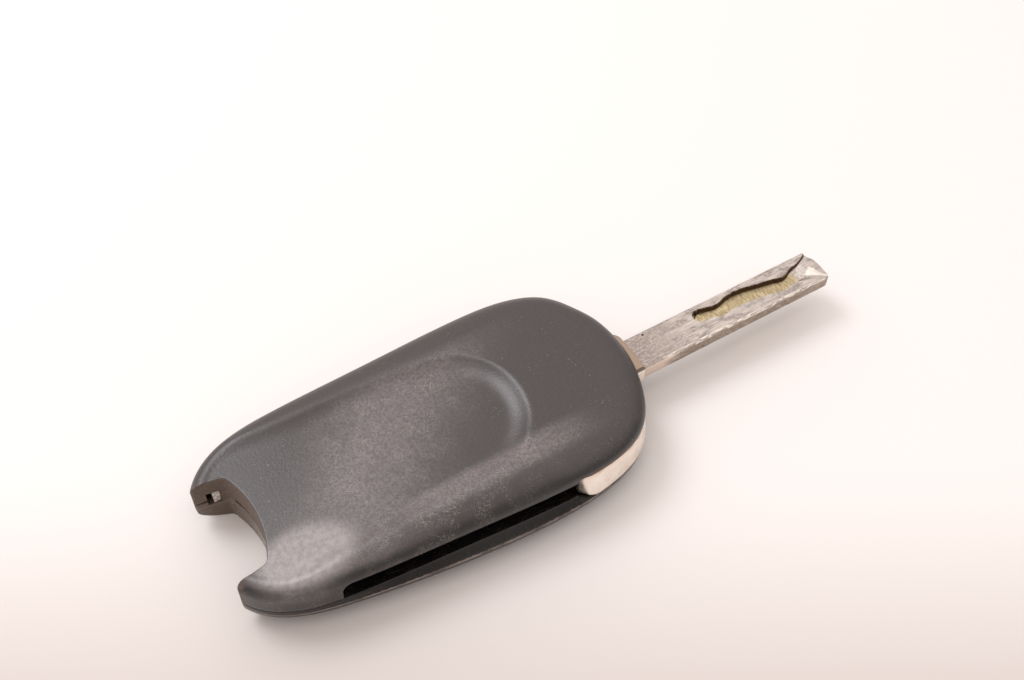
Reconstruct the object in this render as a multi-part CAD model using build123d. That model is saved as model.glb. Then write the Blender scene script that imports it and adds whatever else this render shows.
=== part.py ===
"""Folding-blade remote car key, lying button side down with its blade swung out.

Millimetres. +X points from the horned tail to the nose and the blade's tip, +Y to the
side away from the blade slot, +Z up. The origin is under the middle of the case, on the
surface that the key lies on.
"""
import os
from math import atan2, degrees, hypot, sqrt

from build123d import *

os.makedirs("parts", exist_ok=True)

# Case outline, seen from above
CASE_LENGTH = 75.0
COVER_WIDTH = 38.3
# Each station: distance behind the nose, and how much narrower than the widest half-width
NOSE_STATIONS = ((2.0, 9.45), (6.2, 3.35), (13.0, 0.55), (22.0, 0.0))
# Each station: distance ahead of the horn tips, and how much narrower
TAIL_STATIONS = ((35.0, 0.9), (16.0, 2.15), (7.8, 3.75), (3.1, 6.45), (0.4, 9.95))
TAIL_BULGE = 0.8
# How far the front case's rim stands outside the cover at the nose, each station and the tail
RIM_FLARE = (0.4, 0.45, 0.45, 0.7, 1.35, 1.65, 0.45, 0.0, 0.0, 0.0, 0.0)

# Heights above the surface that the key lies on
RIM_HEIGHT = 4.1
PARTING_HEIGHT = 5.3
SLOT_HEIGHT = 3.8
CROWN_HEIGHT = 13.0
TAIL_DROP = 1.5

# Shells
WALL = 1.5
FLOOR = 1.3
UNDERSIDE_INSET = 6.0
TAIL_UNDERSIDE_INSET = 8.0
# The underside's curve: share of the inset, and share of the rim's height
UNDERSIDE_CURVE = ((0.0, 1.0), (0.32, 0.51), (0.66, 0.16), (1.0, 0.0))
SHOULDER_RADIUS = 3.4
CROWN_RADIUS = 600.0
LEDGE = 2.4
DIVIDER = 1.2

# Thumb recess in the cover
RECESS_FRONT = 20.5
RECESS_HALF_WIDTH = 12.4
RECESS_DEPTH = 1.0
RECESS_BANK = 3.2
RECESS_NOSE_RADIUS = 10.5

# Notch between the horns, for the keyring bar
NOTCH_DEPTH = 8.0
NOTCH_MOUTH_HALF = 9.5
NOTCH_BACK_HALF = 8.4
NOTCH_BACK_RADIUS = 20.0
NOTCH_CORNER = 1.8
NOTCH_LEAN = 1.4
BAR_SOCKET_LENGTH = 2.2
BAR_SOCKET_HEIGHT = 3.0
BAR_SOCKET_DEPTH = 3.0
BAR_SOCKET_FROM_TIP = 3.9
BAR_SOCKET_BELOW_PARTING = 0.75
BAR_STUB_THICKNESS = 1.2
BAR_STUB_LENGTH = 2.4
PRY_SLOT_WIDTH = 8.6
PRY_SLOT_HEIGHT = 0.6
PRY_SLOT_DEPTH = 1.2
PRY_SLOT_SIDE = 2.8

# Folding blade
PIVOT_BEHIND_NOSE = 8.0
PIVOT_OFFSET = 8.75
# Angle from +X, turned clockwise, of the slot that the folded blade lies in
SLOT_ANGLE = 183.0
# Angle by which the swung-out blade stands off the case's line
BLADE_SKEW = 1.35
BLADE_WIDTH = 6.9
BLADE_THICKNESS = 2.7
BLADE_LENGTH = 41.0
BLADE_OFFSET = 6.85
BLADE_HEIGHT = 7.2
TIP_BEVEL = 2.2
TIP_BEVEL_DEPTH = 0.7
# The tip's outline: distance behind the end, and share of the half width
TIP_LINE = ((0.6, -1.0), (0.15, -0.7), (0.0, 0.0), (0.15, 0.4), (1.2, 1.0))
TRACK_DEPTH = 1.0
TRACK_START = 14.9
# The cut's middle line: distance beyond the track's start, and offset from the blade's middle
TRACK_LINE = ((0.0, 1.15), (3.6, 0.45), (6.4, 0.95), (9.8, 0.85), (13.1, 0.3), (16.7, -0.35), (19.5, -0.1))
TRACK_WIDTH = 2.7
TRACK_RUN_OUT = 1.2
SHANK_WIDTH = 4.6
SHANK_THICKNESS = 1.9
SHANK_LENGTH = 8.4
PIN_DIAMETER = 2.0
PIN_BORE = 1.0
PIN_SLIT = 0.25
PIN_SETBACK = 5.4

# Head that carries the blade
HEAD_HEIGHT = 5.0
HEAD_FLOOR_GAP = 0.2
COLLAR_HEIGHT = 4.1
COLLAR_REACH = 10.0
COLLAR_FAR = 12.8
COLLAR_CORNER = 2.2
LOBE_REACH = 12.0
HEAD_RADIUS = 15.4
HEAD_OUTSIDE_RIM = 0.15
HEAD_INSIDE_COVER = 0.1
WELL_RADIUS = 4.4
WELL_FLOOR = 1.2

# Clearances
SWING_GAP = 0.7
CELL_GAP = 0.3
SLOT_GAP = 0.4
SLOT_TIP_GAP = 0.85
WINDOW_GAP = 0.15
RUNNING_GAP = 0.05
SEAT_GAP = 0.03

# Release button, its stem and the two springs
RELEASE_DIAMETER = 9.6
RELEASE_RECESS = 0.3
RELEASE_FLANGE = 0.8
RELEASE_FLANGE_THICKNESS = 0.8
RELEASE_LEDGE = 2.0
STEM_DIAMETER = 5.0
STEM_TOP = 9.0
FLIP_WIRE = 0.65
FLIP_COIL_RADIUS = 3.45
FLIP_TURNS = 4
FLIP_PITCH = 0.78
RETURN_WIRE = 0.45
RETURN_COIL_RADIUS = 1.75
RETURN_TURNS = 3
STEM_BORE_TOP = 11.5

# Three function buttons on the underside
BUTTON_NAMES = ("lock_button", "unlock_button", "boot_button")
SWITCH_NAMES = ("lock_switch", "unlock_switch", "boot_switch")
BUTTON_PITCH = 13.0
FIRST_BUTTON = 6.5
BUTTON_LENGTH = 10.4
BUTTON_WIDTH = 14.4
BUTTON_CORNER = 3.0
BUTTON_RECESS = 0.3
BUTTON_FLANGE = 0.8
BUTTON_FLANGE_THICKNESS = 0.5
BUTTON_DISH = 0.25

# Rubber keypad, circuit board and what stands on it
KEYPAD_SKIRT = 1.1
KEYPAD_WEB = 0.6
KEYPAD_WEB_HEIGHT = 2.4
PIP_DIAMETER = 3.0
BOARD_HEIGHT = 4.3
BOARD_THICKNESS = 0.8
BOARD_GAP = 0.3
SWITCH_BODY = (4.2, 3.2, 1.0)
SWITCH_PLUNGER_DIAMETER = 1.6
SWITCH_PLUNGER_LENGTH = 0.15
CELL_DIAMETER = 20.0
CELL_THICKNESS = 3.2
CELL_PLACE = (-10.5, 3.5)
CELL_RIM = 1.4
CELL_RIM_HEIGHT = 0.5
CONTACT_SHEET = 0.25
CONTACT_WIDTH = 5.0
CONTACT_REACH = 8.0
CONTACT_FOOT = 1.0
NEGATIVE_PLATE = 11.0
FINGER_SLOT = 1.0
MAIN_CHIP = (6.0, 6.0, 0.9)
MAIN_CHIP_PLACE = (8.5, 9.5)
CRYSTAL = (3.2, 2.5, 0.9)
CRYSTAL_PLACE = (14.5, 12.5)
LOW_BAND_COIL = (6.6, 6.6, 2.8)
LOW_BAND_COIL_PLACE = (5.0, 1.5)
COIL_FLANGE = 1.0
TRANSPONDER = (4.6, 11.0, 2.4)
TRANSPONDER_PLACE = (-24.4, 2.0)
CAPACITOR = (1.6, 0.8, 0.8)
CAPACITOR_PITCH = 1.8
CAPACITOR_PLACE = (13.5, 4.8)
CAPACITOR_COUNT = 4
HOLD_DOWN_RIB = 1.2
HOLD_DOWN_LENGTH = 13.0
HOLD_DOWN_SPREAD = 10.0

# Places that follow from the sizes above
NOSE_X = CASE_LENGTH / 2
TAIL_X = -CASE_LENGTH / 2
PIVOT = (NOSE_X - PIVOT_BEHIND_NOSE, -PIVOT_OFFSET)
PIVOT_AXIS = Axis((PIVOT[0], PIVOT[1], 0), (0, 0, 1))
SLOT_TOP = PARTING_HEIGHT + SLOT_HEIGHT
HEAD_BOTTOM = BLADE_HEIGHT - HEAD_HEIGHT / 2
HEAD_TOP = BLADE_HEIGHT + HEAD_HEIGHT / 2
POCKET_BOTTOM = HEAD_BOTTOM - HEAD_FLOOR_GAP
POCKET_TOP = HEAD_TOP + HEAD_FLOOR_GAP
POCKET_RADIUS = HEAD_RADIUS + SWING_GAP
BOARD_TOP = BOARD_HEIGHT + BOARD_THICKNESS
CELL_BOTTOM = BOARD_TOP + CONTACT_SHEET + 2 * SEAT_GAP
CELL_TOP = CELL_BOTTOM + CELL_THICKNESS
FOLD_ANGLE = SLOT_ANGLE + BLADE_SKEW
# The blade's root, middle and pin before it is turned by its skew
ROOT_X = PIVOT[0] + COLLAR_REACH
BLADE_Y = PIVOT[1] + BLADE_OFFSET
PIN_PLACE = (ROOT_X - PIN_SETBACK, BLADE_Y)
KEYPAD_TOP = KEYPAD_WEB_HEIGHT + KEYPAD_WEB
SWITCH_BOTTOM = BOARD_HEIGHT - SWITCH_BODY[2]
PLUNGER_BOTTOM = SWITCH_BOTTOM - SWITCH_PLUNGER_LENGTH
BAR_X = TAIL_X + BAR_SOCKET_FROM_TIP
SOCKET_END = NOTCH_BACK_HALF + BAR_SOCKET_DEPTH
SOCKET_BOTTOM = PARTING_HEIGHT - BAR_SOCKET_BELOW_PARTING
FAR = 2 * CASE_LENGTH


def cover_stations():
    """Outline points of the cover, from the nose round the +Y side to the middle of the tail."""
    half = COVER_WIDTH / 2
    points = [(NOSE_X, 0.0)]
    points += [(NOSE_X - back, half - narrower) for back, narrower in NOSE_STATIONS]
    points += [(TAIL_X + ahead, half - narrower) for ahead, narrower in TAIL_STATIONS]
    points.append((TAIL_X - TAIL_BULGE, 0.0))
    return points


def outline(inset, flare=0.0, tail_inset=None):
    """Closed outline points, moved inwards by inset and outwards by flare times the rim's flare."""
    half = cover_stations()
    flares = list(RIM_FLARE)
    flares += flares[-2:0:-1]
    loop = half + [(x, -y) for x, y in half[-2:0:-1]]
    moved = []
    for index, (x, y) in enumerate(loop):
        before = loop[index - 1]
        after = loop[(index + 1) % len(loop)]
        run = hypot(after[0] - before[0], after[1] - before[1])
        normal = ((after[1] - before[1]) / run, -(after[0] - before[0]) / run)
        rearward = max(0.0, -normal[0])
        depth = inset if tail_inset is None else inset + (tail_inset - inset) * rearward
        step = flares[index] * flare - depth
        moved.append((x + normal[0] * step, y + normal[1] * step))
    return moved


def level_wire(points, height):
    """Closed spline through outline points at one height, with its points at the same shares of
    its length as on the cover's outline, so that outlines at different heights loft smoothly."""
    base = outline(0.0)
    shares = [0.0]
    for index in range(1, len(base) + 1):
        here = base[index % len(base)]
        before = base[index - 1]
        shares.append(shares[-1] + hypot(here[0] - before[0], here[1] - before[1]))
    shares = [share / shares[-1] for share in shares]
    placed = [(x, y, height) for x, y in points]
    return Wire([Edge.make_spline(placed, periodic=True, parameters=shares)])


def flat_face(points, height=0.0):
    """Flat face inside the closed spline through the points."""
    return Face(level_wire(points, height))


def prism(face, low, high):
    """Solid that a flat face at height zero sweeps from low to high."""
    return Pos(0, 0, low) * extrude(face, high - low)


def disc(radius, low, high, place=PIVOT):
    """Upright cylinder between two heights."""
    return Pos(place[0], place[1], (low + high) / 2) * Cylinder(radius, high - low)


def block(size, place, low):
    """Upright box on a height, centred on a place."""
    return Pos(place[0], place[1], low + size[2] / 2) * Box(*size)


def rounded_plate(length, width, corner, place, low, high):
    """Upright prism of a rectangle with round corners."""
    return prism(Pos(*place) * RectangleRounded(length, width, corner), low, high)


def cover_dome(wall=0.0):
    """Solid inside the cover's outer skin, or inside its inner skin when a wall is given."""
    dome = prism(flat_face(outline(wall)), PARTING_HEIGHT - wall, CROWN_HEIGHT + WALL)
    tilt = Rot(0, -degrees(atan2(TAIL_DROP, CASE_LENGTH)), 0)
    barrel = Rot(0, 90, 0) * Cylinder(CROWN_RADIUS, FAR)
    dome &= Pos(NOSE_X, 0, CROWN_HEIGHT - wall - CROWN_RADIUS) * tilt * barrel
    crown = dome.faces().sort_by(Axis.Z)[-1]
    return fillet(crown.edges(), SHOULDER_RADIUS - wall)


def slot_plan(wall=0.0):
    """Plan of the space that the folded blade needs, open on its outer side, grown by a wall."""
    inner = PIVOT[1] + BLADE_OFFSET - BLADE_WIDTH / 2 - SLOT_GAP - wall
    outer = PIVOT[1] + BLADE_OFFSET + BLADE_WIDTH
    length = COLLAR_REACH + BLADE_LENGTH + SLOT_TIP_GAP + wall
    plan = Pos(PIVOT[0] + length / 2, (inner + outer) / 2) * Rectangle(length, outer - inner)
    return plan.rotate(PIVOT_AXIS, -SLOT_ANGLE)


def notch_plan(grow=0.0):
    """Plan of the notch between the horns, with a hollow back and flaring sides."""
    back = TAIL_X + NOTCH_DEPTH + grow
    sag = NOTCH_BACK_RADIUS - sqrt(NOTCH_BACK_RADIUS**2 - NOTCH_BACK_HALF**2)
    corner_x = back - sag
    side = NOTCH_BACK_HALF + grow
    mouth = NOTCH_MOUTH_HALF + grow
    beyond = TAIL_X - NOTCH_DEPTH
    flare = (mouth - side) / (corner_x - TAIL_X)
    wide = side + flare * (corner_x - beyond)
    back_arc = ThreePointArc((corner_x, side), (back, 0), (corner_x, -side))
    sides = Polyline((corner_x, -side), (beyond, -wide), (beyond, wide), (corner_x, side))
    face = make_face([back_arc, sides])
    corners = [v for v in face.vertices() if abs(v.X - corner_x) < NOTCH_CORNER / 10]
    return fillet(corners, NOTCH_CORNER)


def notch_cutter():
    """The notch as a solid whose back leans forward with height."""
    low = Pos(-NOTCH_LEAN / 2, 0, -WALL) * notch_plan()
    high = Pos(NOTCH_LEAN / 2, 0, CROWN_HEIGHT + WALL) * notch_plan()
    return loft([low, high])


def electronics_plan(inset, extra=0.0):
    """Plan of the hollow for the board: the case outline less the slot, the head and the notch."""
    plan = flat_face(outline(inset + extra))
    plan -= slot_plan(DIVIDER + extra)
    plan -= Pos(*PIVOT) * Circle(POCKET_RADIUS + DIVIDER + extra)
    front = TAIL_X + NOTCH_DEPTH + WALL + extra
    return plan & (Pos(front + CASE_LENGTH / 2, 0) * Rectangle(CASE_LENGTH, CASE_LENGTH))


def bar_sockets():
    """The two facing sockets for the ends of the keyring bar, one in each horn."""
    size = (BAR_SOCKET_LENGTH, 2 * SOCKET_END, BAR_SOCKET_HEIGHT)
    return block(size, (BAR_X, 0), SOCKET_BOTTOM)


def pry_slot():
    """Shallow slot in the notch's back wall, for the tool that opens the case."""
    depth = PRY_SLOT_DEPTH + WALL
    x = TAIL_X + NOTCH_DEPTH + PRY_SLOT_DEPTH - depth / 2
    size = (depth, PRY_SLOT_WIDTH, PRY_SLOT_HEIGHT)
    return block(size, (x, PRY_SLOT_SIDE), PARTING_HEIGHT - PRY_SLOT_HEIGHT / 2)


def thumb_recess():
    """Cutter for the thumb recess: a U with sloping banks, shallower towards the tail."""
    front = NOSE_X - RECESS_FRONT

    def u_plan(shrink):
        half = RECESS_HALF_WIDTH - shrink
        nose = front - shrink
        radius = RECESS_NOSE_RADIUS - shrink
        middle = (nose + TAIL_X - CASE_LENGTH) / 2
        plan = Pos(middle, 0) * Rectangle(nose - TAIL_X + CASE_LENGTH, 2 * half)
        ends = [v for v in plan.vertices() if v.X > middle]
        return fillet(ends, radius)

    deep = Pos(0, 0, -RECESS_DEPTH) * u_plan(RECESS_BANK)
    high = Pos(0, 0, RECESS_DEPTH / 2) * u_plan(-RECESS_BANK / 2)
    slope = degrees(atan2(TAIL_DROP + RECESS_DEPTH / 4, CASE_LENGTH))
    fall = TAIL_DROP * RECESS_FRONT / CASE_LENGTH
    cutter = Pos(-front, 0, 0) * loft([deep, high])
    return Pos(front, 0, CROWN_HEIGHT - fall) * Rot(0, -slope, 0) * cutter


def make_rear_cover():
    """Deep upper shell with the thumb recess, the slot roof and the head pocket."""
    cover = cover_dome() - thumb_recess() - notch_cutter()
    cover -= prism(slot_plan(), PARTING_HEIGHT - WALL, SLOT_TOP)
    cover -= disc(POCKET_RADIUS, PARTING_HEIGHT - WALL, POCKET_TOP)
    hollow = cover_dome(WALL) - thumb_recess_floor()
    hollow &= prism(electronics_plan(WALL), PARTING_HEIGHT - WALL, CROWN_HEIGHT)
    cover -= hollow
    cover -= disc(STEM_DIAMETER / 2 + 2 * RUNNING_GAP, POCKET_TOP, STEM_BORE_TOP)
    cover -= bar_sockets()
    cover -= pry_slot()
    rib_bottom = CELL_TOP + CONTACT_SHEET + 2 * SEAT_GAP
    rib_top = CROWN_HEIGHT - TAIL_DROP - RECESS_DEPTH
    for side in (-0.5, 0.5):
        place = (CELL_PLACE[0] + side * HOLD_DOWN_SPREAD, CELL_PLACE[1])
        cover += block((HOLD_DOWN_RIB, HOLD_DOWN_LENGTH, rib_top - rib_bottom), place, rib_bottom)
    return cover


def thumb_recess_floor():
    """The recess cutter moved down by the wall, so that the cover keeps its thickness there."""
    return Pos(0, 0, -WALL) * thumb_recess()


def make_front_case():
    """Shallow lower shell: bowl-shaped underside, button windows and a ledge for the board."""
    wires = []
    for share, height in UNDERSIDE_CURVE:
        points = outline(UNDERSIDE_INSET * share, 1.0, TAIL_UNDERSIDE_INSET * share)
        wires.append(level_wire(points, height * RIM_HEIGHT))
    bowl = Solid.make_loft(wires)
    rim = level_wire(outline(0.0, 1.0), RIM_HEIGHT)
    shoulder = Solid.make_loft([rim, level_wire(outline(0.0), PARTING_HEIGHT)], ruled=True)
    case = bowl + shoulder - notch_cutter()
    case -= prism(electronics_plan(WALL + SEAT_GAP), BOARD_HEIGHT, PARTING_HEIGHT + WALL)
    case -= prism(electronics_plan(WALL + LEDGE, SEAT_GAP), FLOOR, BOARD_HEIGHT)
    case -= keypad_block(KEYPAD_SKIRT + WINDOW_GAP, FLOOR, KEYPAD_TOP + WINDOW_GAP)
    case -= disc(POCKET_RADIUS, POCKET_BOTTOM, PARTING_HEIGHT + WALL)
    for x in button_places():
        length = BUTTON_LENGTH + 2 * WINDOW_GAP
        width = BUTTON_WIDTH + 2 * WINDOW_GAP
        case -= rounded_plate(length, width, BUTTON_CORNER + WINDOW_GAP, (x, 0), -WALL, FLOOR)
    case -= disc(RELEASE_DIAMETER / 2 + WINDOW_GAP, -WALL, RELEASE_LEDGE)
    case -= disc(RELEASE_DIAMETER / 2 + RELEASE_FLANGE + WINDOW_GAP, RELEASE_LEDGE, PARTING_HEIGHT)
    case -= bar_sockets()
    case -= pry_slot()
    return case


def button_places():
    """Places of the three buttons along the case."""
    return [FIRST_BUTTON - BUTTON_PITCH * index for index in range(len(BUTTON_NAMES))]


def keypad_block(margin, low, high):
    """Plate that covers the three buttons' flanges, with a margin round them."""
    places = button_places()
    length = places[0] - places[-1] + BUTTON_LENGTH + 2 * (BUTTON_FLANGE + WINDOW_GAP + margin)
    width = BUTTON_WIDTH + 2 * (BUTTON_FLANGE + WINDOW_GAP + margin)
    corner = BUTTON_CORNER + BUTTON_FLANGE + margin
    return rounded_plate(length, width, corner, ((places[0] + places[-1]) / 2, 0), low, high)


def make_keypad():
    """Rubber mat on a skirt, with a pip over each switch."""
    pad = keypad_block(KEYPAD_SKIRT, FLOOR + SEAT_GAP, KEYPAD_TOP)
    pad -= keypad_block(0.0, FLOOR, KEYPAD_WEB_HEIGHT)
    for x in button_places():
        pad += disc(PIP_DIAMETER / 2, KEYPAD_TOP, PLUNGER_BOTTOM - SEAT_GAP, (x, 0))
    return pad


def make_button(x):
    """Button cap with a dished face, held behind its window by a flange."""
    flange_bottom = FLOOR + SEAT_GAP
    flange_top = flange_bottom + BUTTON_FLANGE_THICKNESS
    cap = rounded_plate(BUTTON_LENGTH, BUTTON_WIDTH, BUTTON_CORNER, (x, 0), BUTTON_RECESS, flange_top)
    cap += rounded_plate(
        BUTTON_LENGTH + 2 * BUTTON_FLANGE,
        BUTTON_WIDTH + 2 * BUTTON_FLANGE,
        BUTTON_CORNER + BUTTON_FLANGE,
        (x, 0),
        flange_bottom,
        flange_top,
    )
    dish_radius = (BUTTON_LENGTH**2 / 4 + BUTTON_DISH**2) / (2 * BUTTON_DISH)
    dish = Pos(x, 0, BUTTON_RECESS + BUTTON_DISH / 2 - dish_radius) * Rot(90, 0, 0) * Cylinder(
        dish_radius, BUTTON_WIDTH + BUTTON_FLANGE
    )
    return cap - dish


def blade_outline():
    """Plan of the blade along +X, with its worn corners at the tip."""
    half = BLADE_WIDTH / 2
    tip = ROOT_X + BLADE_LENGTH
    points = [(ROOT_X, BLADE_Y - half)]
    points += [(tip - back, BLADE_Y + share * half) for back, share in TIP_LINE]
    points.append((ROOT_X, BLADE_Y + half))
    return make_face(Polyline(*points, close=True))


def track_cutter():
    """Wavy milled track on the upper flat, that runs out at the tip."""
    start = ROOT_X + TRACK_START
    line = [(start + along, BLADE_Y + offset) for along, offset in TRACK_LINE]
    end = (ROOT_X + BLADE_LENGTH + TRACK_WIDTH, BLADE_Y + TRACK_RUN_OUT)
    path = Spline(*line)
    upper = BLADE_HEIGHT + BLADE_THICKNESS / 2
    half = TRACK_WIDTH / 2
    samples = 9
    left = []
    right = []
    for index in range(samples):
        share = index / (samples - 1)
        point = path.position_at(share)
        tangent = path.tangent_at(share)
        left.append((point.X - tangent.Y * half, point.Y + tangent.X * half))
        right.append((point.X + tangent.Y * half, point.Y - tangent.X * half))
    back = path.position_at(0) - path.tangent_at(0) * half
    plan = make_face(
        [
            Spline(*left),
            Polyline(left[-1], (end[0], end[1] + half), (end[0], end[1] - 3 * half), right[-1]),
            Spline(*right),
            ThreePointArc(right[0], (back.X, back.Y), left[0]),
        ]
    )
    return prism(plan, upper - TRACK_DEPTH, upper + TRACK_DEPTH)


def make_key_blade():
    """Flat blade with a milled track on each side, a bevelled tip and a shank in the head."""
    low = BLADE_HEIGHT - BLADE_THICKNESS / 2
    high = BLADE_HEIGHT + BLADE_THICKNESS / 2
    blade = prism(blade_outline(), low, high)
    tip = ROOT_X + BLADE_LENGTH
    bevel = make_face(
        Polyline((tip - TIP_BEVEL, high), (tip + TIP_BEVEL, high + TIP_BEVEL_DEPTH),
                 (tip + TIP_BEVEL, high - 2 * TIP_BEVEL_DEPTH), close=True)
    )
    wedge = Pos(0, BLADE_Y + BLADE_WIDTH, 0) * Rot(90, 0, 0) * extrude(bevel, 2 * BLADE_WIDTH)
    middle = Axis((ROOT_X, BLADE_Y, BLADE_HEIGHT), (1, 0, 0))
    track = track_cutter()
    for turn in (0, 180):
        blade -= wedge.rotate(middle, turn)
        blade -= track.rotate(middle, turn)
    shank = (SHANK_LENGTH, SHANK_WIDTH, SHANK_THICKNESS)
    blade += block(shank, (ROOT_X - SHANK_LENGTH / 2, BLADE_Y), BLADE_HEIGHT - SHANK_THICKNESS / 2)
    blade -= disc(PIN_DIAMETER / 2, low, high, PIN_PLACE)
    return blade.rotate(PIVOT_AXIS, BLADE_SKEW)


def collar_plan():
    """Plan of the collar that the blade comes out of, turned by the blade's skew."""
    low = BLADE_OFFSET - BLADE_WIDTH / 2
    middle = (PIVOT[0] + COLLAR_REACH / 2, PIVOT[1] + (low + COLLAR_FAR) / 2)
    plan = Pos(*middle) * Rectangle(COLLAR_REACH, COLLAR_FAR - low)
    far = [v for v in plan.vertices() if v.Y > middle[1] and v.X > middle[0]]
    return fillet(far, COLLAR_CORNER).rotate(PIVOT_AXIS, BLADE_SKEW)


def make_blade_head():
    """Metal head: leans from the rim to the cover's edge at the case's corner, in both places of the
    blade, with a lobe towards the slot, the blade's collar and a spring well."""
    foot = level_wire(outline(-HEAD_OUTSIDE_RIM, 1.0), HEAD_BOTTOM)
    corner = Solid.make_loft([foot, level_wire(outline(HEAD_INSIDE_COVER), HEAD_TOP)], ruled=True)
    lobe_near = BLADE_OFFSET - BLADE_WIDTH / 2
    lobe_place = (PIVOT[0] - LOBE_REACH / 2, PIVOT[1] - (lobe_near + COLLAR_FAR) / 2)
    lobe = block((LOBE_REACH, COLLAR_FAR - lobe_near, HEAD_HEIGHT), lobe_place, HEAD_BOTTOM)
    head = corner & (corner.rotate(PIVOT_AXIS, FOLD_ANGLE) + lobe)
    head &= disc(HEAD_RADIUS, HEAD_BOTTOM, HEAD_TOP)
    head += prism(collar_plan(), HEAD_BOTTOM, HEAD_BOTTOM + COLLAR_HEIGHT)
    head -= disc(WELL_RADIUS, HEAD_BOTTOM + WELL_FLOOR, HEAD_TOP)
    head -= disc(STEM_DIAMETER / 2 + RUNNING_GAP, HEAD_BOTTOM, HEAD_TOP)
    shank = (SHANK_LENGTH + SEAT_GAP, SHANK_WIDTH + 2 * SEAT_GAP, SHANK_THICKNESS + 2 * SEAT_GAP)
    place = (ROOT_X - shank[0] / 2, BLADE_Y)
    fixing = block(shank, place, BLADE_HEIGHT - shank[2] / 2)
    fixing += disc(PIN_DIAMETER / 2, HEAD_BOTTOM, HEAD_TOP, PIN_PLACE)
    return head - fixing.rotate(PIVOT_AXIS, BLADE_SKEW)


def make_blade_pin():
    """Rolled steel pin through the head and the blade's shank."""
    radius = PIN_DIAMETER / 2 - SEAT_GAP
    pin = disc(radius, HEAD_BOTTOM + SEAT_GAP, HEAD_TOP - SEAT_GAP, PIN_PLACE)
    bore = disc(PIN_BORE / 2, HEAD_BOTTOM, HEAD_TOP, PIN_PLACE)
    slit = block((2 * radius, PIN_SLIT, HEAD_HEIGHT), (PIN_PLACE[0] + radius, PIN_PLACE[1]), HEAD_BOTTOM)
    return (pin - bore - slit).rotate(PIVOT_AXIS, BLADE_SKEW)


def make_release_button():
    """Round button whose stem is the axle that the head turns on."""
    cap_radius = RELEASE_DIAMETER / 2
    flange_bottom = RELEASE_LEDGE + SEAT_GAP
    flange_top = flange_bottom + RELEASE_FLANGE_THICKNESS
    button = disc(cap_radius, RELEASE_RECESS, flange_top)
    button += disc(cap_radius + RELEASE_FLANGE, flange_bottom, flange_top)
    button += disc(STEM_DIAMETER / 2, flange_top, STEM_TOP)
    dish_radius = (cap_radius**2 + BUTTON_DISH**2) / (2 * BUTTON_DISH)
    return button - Pos(*PIVOT, RELEASE_RECESS + BUTTON_DISH / 2 - dish_radius) * Sphere(dish_radius)


def coil(wire, radius, pitch, turns, low, place=PIVOT):
    """Round wire wound into an upright coil."""
    path = Pos(place[0], place[1], low + wire / 2) * Helix(pitch, pitch * turns, radius)
    section = Plane(origin=path @ 0, z_dir=path % 0) * Circle(wire / 2)
    return sweep(section, path=path, is_frenet=True)


def make_flip_spring():
    """Torsion spring in the head's well, round the stem."""
    low = HEAD_BOTTOM + WELL_FLOOR + SEAT_GAP
    return coil(FLIP_WIRE, FLIP_COIL_RADIUS, FLIP_PITCH, FLIP_TURNS, low)


def make_return_spring():
    """Compression spring between the stem's end and the roof of the cover's bore."""
    low = STEM_TOP + SEAT_GAP
    pitch = (STEM_BORE_TOP - SEAT_GAP - low - RETURN_WIRE) / RETURN_TURNS
    return coil(RETURN_WIRE, RETURN_COIL_RADIUS, pitch, RETURN_TURNS, low)


def make_circuit_board():
    """Circuit board that lies on the front case's ledge."""
    return prism(electronics_plan(WALL + SEAT_GAP, BOARD_GAP), BOARD_HEIGHT, BOARD_TOP)


def make_switch(x):
    """Push switch under the board."""
    switch = block(SWITCH_BODY, (x, 0), SWITCH_BOTTOM)
    return switch + disc(SWITCH_PLUNGER_DIAMETER / 2, PLUNGER_BOTTOM, SWITCH_BOTTOM, (x, 0))


def make_coin_cell():
    """Coin cell: a wide can, open side down, with the smaller cap below."""
    cell = disc(CELL_DIAMETER / 2, CELL_BOTTOM + CELL_RIM_HEIGHT, CELL_TOP, CELL_PLACE)
    return cell + disc(CELL_DIAMETER / 2 - CELL_RIM, CELL_BOTTOM, CELL_BOTTOM + CELL_RIM_HEIGHT, CELL_PLACE)


def make_negative_contact():
    """Round contact plate under the cell, split into three fingers."""
    low = BOARD_TOP + SEAT_GAP
    plate = disc(NEGATIVE_PLATE / 2, low, low + CONTACT_SHEET, CELL_PLACE)
    for index in range(3):
        slot = Pos(NEGATIVE_PLATE / 4 + FINGER_SLOT, 0, 0) * Box(NEGATIVE_PLATE / 2, FINGER_SLOT, BOARD_TOP)
        plate -= Pos(*CELL_PLACE, low) * Rot(0, 0, 120 * index) * slot
    return plate


def make_positive_contact():
    """Strip that stands on the board beside the cell and reaches over it."""
    inner = CELL_PLACE[1] + CELL_DIAMETER / 2 + CELL_GAP
    low = BOARD_TOP + SEAT_GAP
    high = CELL_TOP + SEAT_GAP + CONTACT_SHEET
    leg = (CONTACT_WIDTH, CONTACT_SHEET, high - low)
    contact = block(leg, (CELL_PLACE[0], inner + CONTACT_SHEET / 2), low)
    tongue = (CONTACT_WIDTH, CONTACT_REACH, CONTACT_SHEET)
    contact += block(tongue, (CELL_PLACE[0], inner + CONTACT_SHEET - CONTACT_REACH / 2), high - CONTACT_SHEET)
    foot = (CONTACT_WIDTH, CONTACT_FOOT, CONTACT_SHEET)
    return contact + block(foot, (CELL_PLACE[0], inner + CONTACT_FOOT / 2), low)


def make_capacitors():
    """Row of small ceramic capacitors on the board."""
    x, y = CAPACITOR_PLACE
    places = [(x, y + CAPACITOR_PITCH * index) for index in range(CAPACITOR_COUNT)]
    return Compound(children=[block(CAPACITOR, place, BOARD_TOP) for place in places])


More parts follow.
